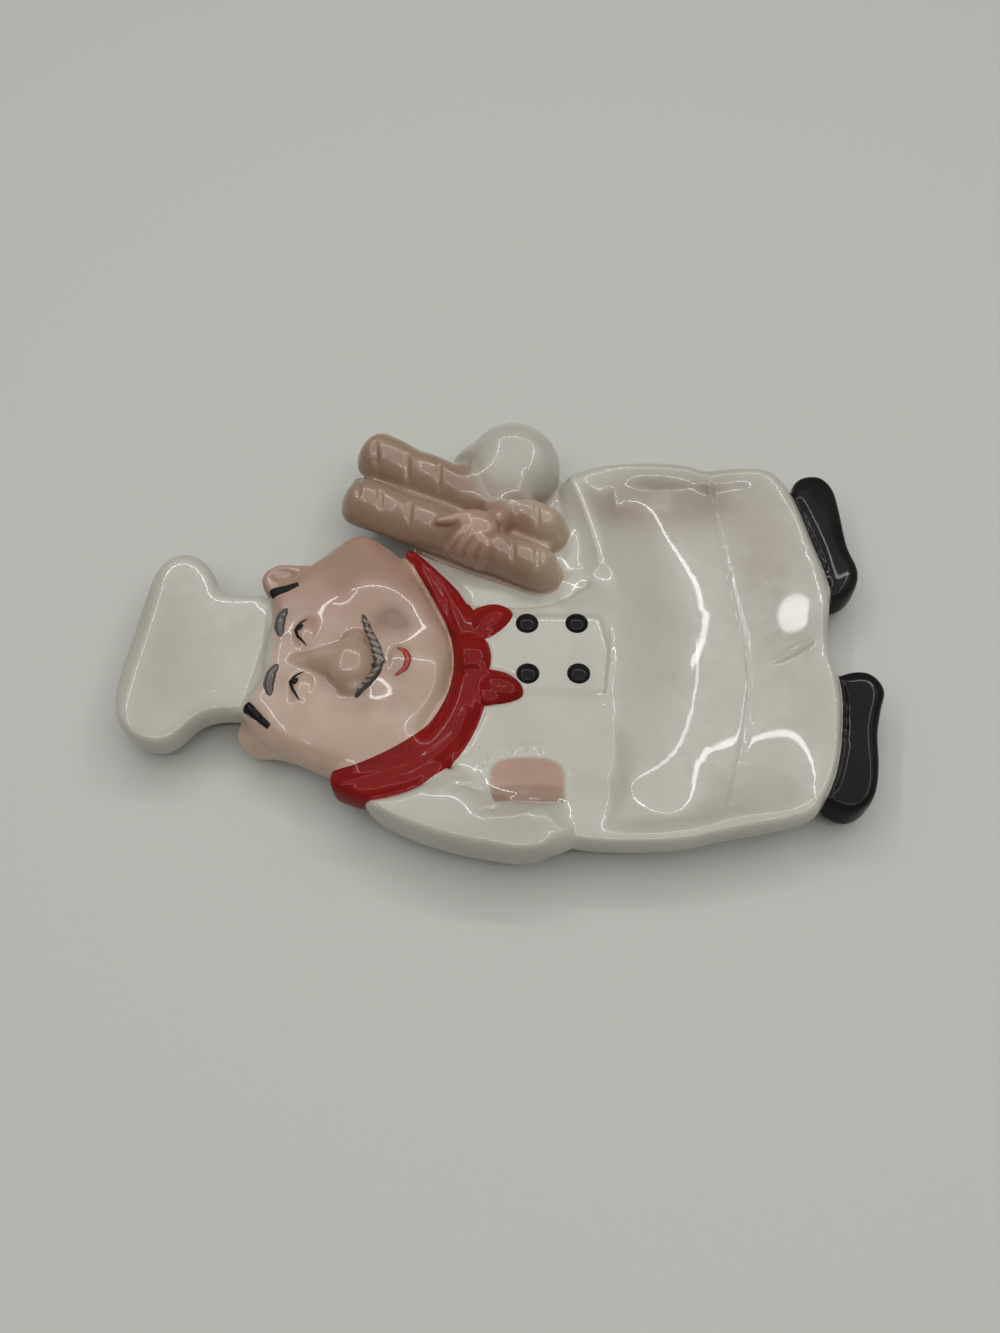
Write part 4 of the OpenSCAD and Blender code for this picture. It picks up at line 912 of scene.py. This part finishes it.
for node, piece in pieces.items():
    dress(node, piece)
print("dressed:", len(pieces))

# %% [markdown]
# ## Glazes
#
# A glaze is a coloured layer under a clear one. Its colour is never even: it is cloudy where it was thick, darker
# in hollows, where glaze gathers and where shade is painted in, and browner under spots of airbrush and painted
# shade. The clear layer gives the sharp shine, and a faint waviness of the surface breaks the shine up.


# %% Node helpers
def add(tree, kind, feeds=None, **settings):
    node = tree.nodes.new(kind)
    for name, value in settings.items():
        setattr(node, name, value)
    for socket, value in (feeds or {}).items():
        if isinstance(value, bpy.types.NodeSocket):
            tree.links.new(value, node.inputs[socket])
        else:
            node.inputs[socket].default_value = value
    return node


def blend(tree, share, first, second):
    return add(tree, "ShaderNodeMix", {0: share, 6: first, 7: second}, data_type="RGBA").outputs[2]


def ramp(tree, value, low, high, to_high=1.0):
    return add(tree, "ShaderNodeMapRange", {0: value, 1: low, 2: high, 4: to_high},
               interpolation_type="SMOOTHSTEP").outputs[0]


def kept(tree, name):
    return add(tree, "ShaderNodeAttribute", attribute_name=name).outputs["Fac"]


def noise(tree, place, scale, detail=3.0):
    return add(tree, "ShaderNodeTexNoise", {"Vector": place, "Scale": scale, "Detail": detail}).outputs["Fac"]


# %% A glaze with clouds, gathered glaze and painted shade in hollows, spots, and waviness
KILN_SPECK = (0.10, 0.07, 0.05, 1)


def glaze(name, colour, cloudy, pooled_and_shaded, misted_and_shaded, pool_and_shade=0.6, roughness=0.32, coat=0.5, shine=0.5, speck=0.0):
    material = bpy.data.materials.new(name)
    material.use_nodes = True
    tree = material.node_tree
    shader = tree.nodes["Principled BSDF"]
    place = add(tree, "ShaderNodeTexCoord").outputs["Object"]
    paint = blend(tree, ramp(tree, noise(tree, place, 70), 0.38, 0.68), (*colour, 1), (*cloudy, 1))
    # Darker in hollows: partly glaze that gathers there, partly painted shade
    paint = blend(tree, ramp(tree, kept(tree, "hollow"), 0.12, 1.0, pool_and_shade), paint, (*pooled_and_shaded, 1))
    # Spots of airbrush and of painted shade turn the colour browner
    patchy = add(tree, "ShaderNodeMath", {0: kept(tree, "mist_and_shade"), 1: ramp(tree, noise(tree, place, 110), 0.0, 0.5)},
                 operation="MULTIPLY").outputs[0]
    paint = blend(tree, patchy, paint, (*misted_and_shaded, 1))
    if speck:
        dots = add(tree, "ShaderNodeTexVoronoi", {"Vector": place, "Scale": 62.0}).outputs["Distance"]
        paint = blend(tree, ramp(tree, dots, 0.026, 0.016, speck), paint, KILN_SPECK)
    tree.links.new(paint, shader.inputs["Base Color"])
    uneven = add(tree, "ShaderNodeMapRange", {0: ramp(tree, noise(tree, place, 220), 0.3, 0.7),
                                              3: roughness - 0.05, 4: roughness + 0.07})
    tree.links.new(uneven.outputs[0], shader.inputs["Roughness"])
    shader.inputs["Coat Weight"].default_value = coat
    shader.inputs["Coat Roughness"].default_value = 0.04
    shader.inputs["Specular IOR Level"].default_value = shine
    waves = add(tree, "ShaderNodeBump", {"Strength": 0.12, "Distance": 0.0006,
                                         "Height": noise(tree, place, 260, 2.0)})
    tree.links.new(waves.outputs[0], shader.inputs["Normal"])
    return material


# Each glaze: its colour, its colour in the clouds, and its colours in hollows and under the spots, partly painted
# shade
WHITE = (0.46, 0.44, 0.375)
white = glaze("white_glaze", WHITE, (0.435, 0.413, 0.35), (0.37, 0.335, 0.28), (0.30, 0.245, 0.19),
              pool_and_shade=0.5, speck=0.5)
skin = glaze("skin_glaze", (0.44, 0.325, 0.245), (0.41, 0.29, 0.215), (0.31, 0.2, 0.135), (0.235, 0.13, 0.085),
             pool_and_shade=0.35)
pink = glaze("pink_glaze", (0.375, 0.23, 0.165), (0.345, 0.205, 0.145), (0.25, 0.15, 0.10), (0.245, 0.145, 0.092))
# The forearm's brown is partly painted shade, in the hollow between the elbow, the bread and the hand
brown_arm = glaze("brown_arm_glaze", (0.36, 0.212, 0.147), (0.33, 0.19, 0.13), (0.22, 0.125, 0.085),
                  (0.255, 0.145, 0.098))
bread = glaze("bread_glaze", (0.29, 0.19, 0.128), (0.26, 0.165, 0.11), (0.17, 0.11, 0.075), (0.21, 0.13, 0.088),
              pool_and_shade=0.8)
black = glaze("black_glaze", (0.009, 0.008, 0.008), (0.013, 0.012, 0.012), (0.006, 0.005, 0.005),
              (0.012, 0.011, 0.01), roughness=0.3, coat=0.2, shine=0.02)
grey = glaze("grey_paint", (0.225, 0.185, 0.15), (0.19, 0.155, 0.125), (0.13, 0.105, 0.082), (0.19, 0.155, 0.125),
             shine=0.3)
lip = glaze("red_paint", (0.33, 0.035, 0.022), (0.29, 0.028, 0.018), (0.23, 0.02, 0.014), (0.30, 0.03, 0.018),
            shine=0.2)
clay_bare = glaze("bare_clay", (0.56, 0.52, 0.45), (0.48, 0.44, 0.37), (0.42, 0.38, 0.31), (0.46, 0.42, 0.35),
                  roughness=0.75, coat=0.0)
red = glaze("red_glaze", (0.215, 0.008, 0.007), (0.175, 0.006, 0.006), (0.11, 0.004, 0.004), (0.16, 0.006, 0.006),
            roughness=0.3, coat=0.22, shine=0.02)
print("glazes:", [m.name for m in bpy.data.materials if m.name.endswith(("glaze", "paint"))])

# %% [markdown]
# Some glazes carry a second colour laid over the first: the white that runs from the hat over the forehead and the
# strokes in the red are brush work; the darker far side of the face is painted shade with a flush; the lighter right
# ends of the loaves are painted light; steep skin is painted lighter, as painted light; and the dark on the hair is
# paint with painted shade. Each is a share of a colour laid over the rest.


# %% Second colours
DARK_PAINT_AND_SHADE = (0.05, 0.042, 0.035)


def over(material, share, colour):
    """Lays a second colour over the glaze, as strong as share."""
    tree = material.node_tree
    base = tree.nodes["Principled BSDF"].inputs["Base Color"]
    tree.links.new(blend(tree, share, base.links[0].from_socket, (*colour, 1)), base)


face = skin.node_tree
# Painted light: the steeper the skin, the more a paler colour is laid over it, which lightens the jaw, chin and ears
over(skin, ramp(face, kept(face, "edge"), 0.25, 0.95, 0.7), (0.53, 0.375, 0.28))
# Painted shade with a flush: the far side of the face is laid over with a darker colour, less so under the spots
bare = add(face, "ShaderNodeMath", {0: 1.0, 1: kept(face, "mist_and_shade")}, operation="SUBTRACT").outputs[0]
shaded_and_flushed = add(face, "ShaderNodeMath", {0: ramp(face, kept(face, "far_side"), 0.0, 1.0, 0.95), 1: bare},
              operation="MULTIPLY").outputs[0]
over(skin, shaded_and_flushed, (0.34, 0.205, 0.15))
over(skin, kept(face, "fade"), WHITE)
crust = bread.node_tree
# Painted light: the loaves are laid over with a paler colour towards their right ends
over(bread, ramp(crust, kept(crust, "lighter_towards_x"), 0.0, 1.0, 0.9), (0.43, 0.325, 0.23))
# Along the border of sleeve and bread each colour runs into the other; the brown on the white of the elbow is painted
# shade
over(bread, kept(crust, "bleed_and_shade"), WHITE)
over(brown_arm, kept(brown_arm.node_tree, "bleed_and_shade"), WHITE)
over(white, kept(white.node_tree, "bleed_and_shade"), (0.24, 0.15, 0.10))
arm = pink.node_tree
over(pink, ramp(arm, kept(arm, "blush"), 1.0, 0.0), WHITE)
hair = grey.node_tree
# Darker on the steep sides of brows and moustache: a painted outline with painted shade in it
over(grey, ramp(hair, kept(hair, "edge"), 0.25, 0.6, 0.9), DARK_PAINT_AND_SHADE)
# The dark roll of the moustache is painted shade between the tufts; the brows take the dark colour as their own paint
over(grey, kept(hair, "shade"), DARK_PAINT_AND_SHADE)
cloth = red.node_tree
brush = add(cloth, "ShaderNodeCombineXYZ", {0: kept(cloth, "run"), 1: kept(cloth, "aside")}).outputs[0]
stretched = add(cloth, "ShaderNodeVectorMath", {0: brush, 1: (8.0, 110.0, 1.0)}, operation="MULTIPLY").outputs[0]
over(red, ramp(cloth, noise(cloth, stretched, 1.0, 4.0), 0.5, 0.72, 0.6), (0.275, 0.022, 0.013))
print("second colours laid over:", [m.name for m in (skin, bread, brown_arm, white, pink, grey, red)])

# %% Glaze the pieces, fix them to the body and hide the solids they replace
SMOOTH_UP_TO = math.radians(38)
GLAZE_OF = {
    white: ["dish", "jacket_hem", "jacket_front", "placket", "sleeve_near", "cuff_near", "shoulder_far", "elbow_far",
            "hat"],
    black: ["shoe_near", "shoe_far", "button_1", "button_2", "button_3", "button_4", "sideburn_near", "sideburn_far",
            "eye_line_near", "eye_line_far"],
    skin: ["head", "nose", "ear_near", "ear_far", "eyelid_near", "eyelid_far"],
    pink: ["wrist_near", "hand_far", "finger_1", "finger_2", "finger_3", "finger_4"],
    brown_arm: ["forearm_far"],
    bread: ["loaf_inner", "loaf_outer"],
    red: ["kerchief_band", "kerchief_knot", "tail_near", "tail_far"],
    lip: ["mouth"],
    grey: ["eyebrow_near", "eyebrow_far", "moustache"],
    clay_bare: ["foot_ring"],
}
for material, names in GLAZE_OF.items():
    for name in names:
        piece = pieces[name]
        piece.data.materials.clear()
        piece.data.materials.append(material)
        lone(piece)
        bpy.ops.object.shade_smooth_by_angle(angle=SMOOTH_UP_TO)
        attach(piece, "root")
        if name in nodes:
            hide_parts(name)
for spare in plain.values():
    bpy.data.objects.remove(spare)
print("pieces:", len(pieces))
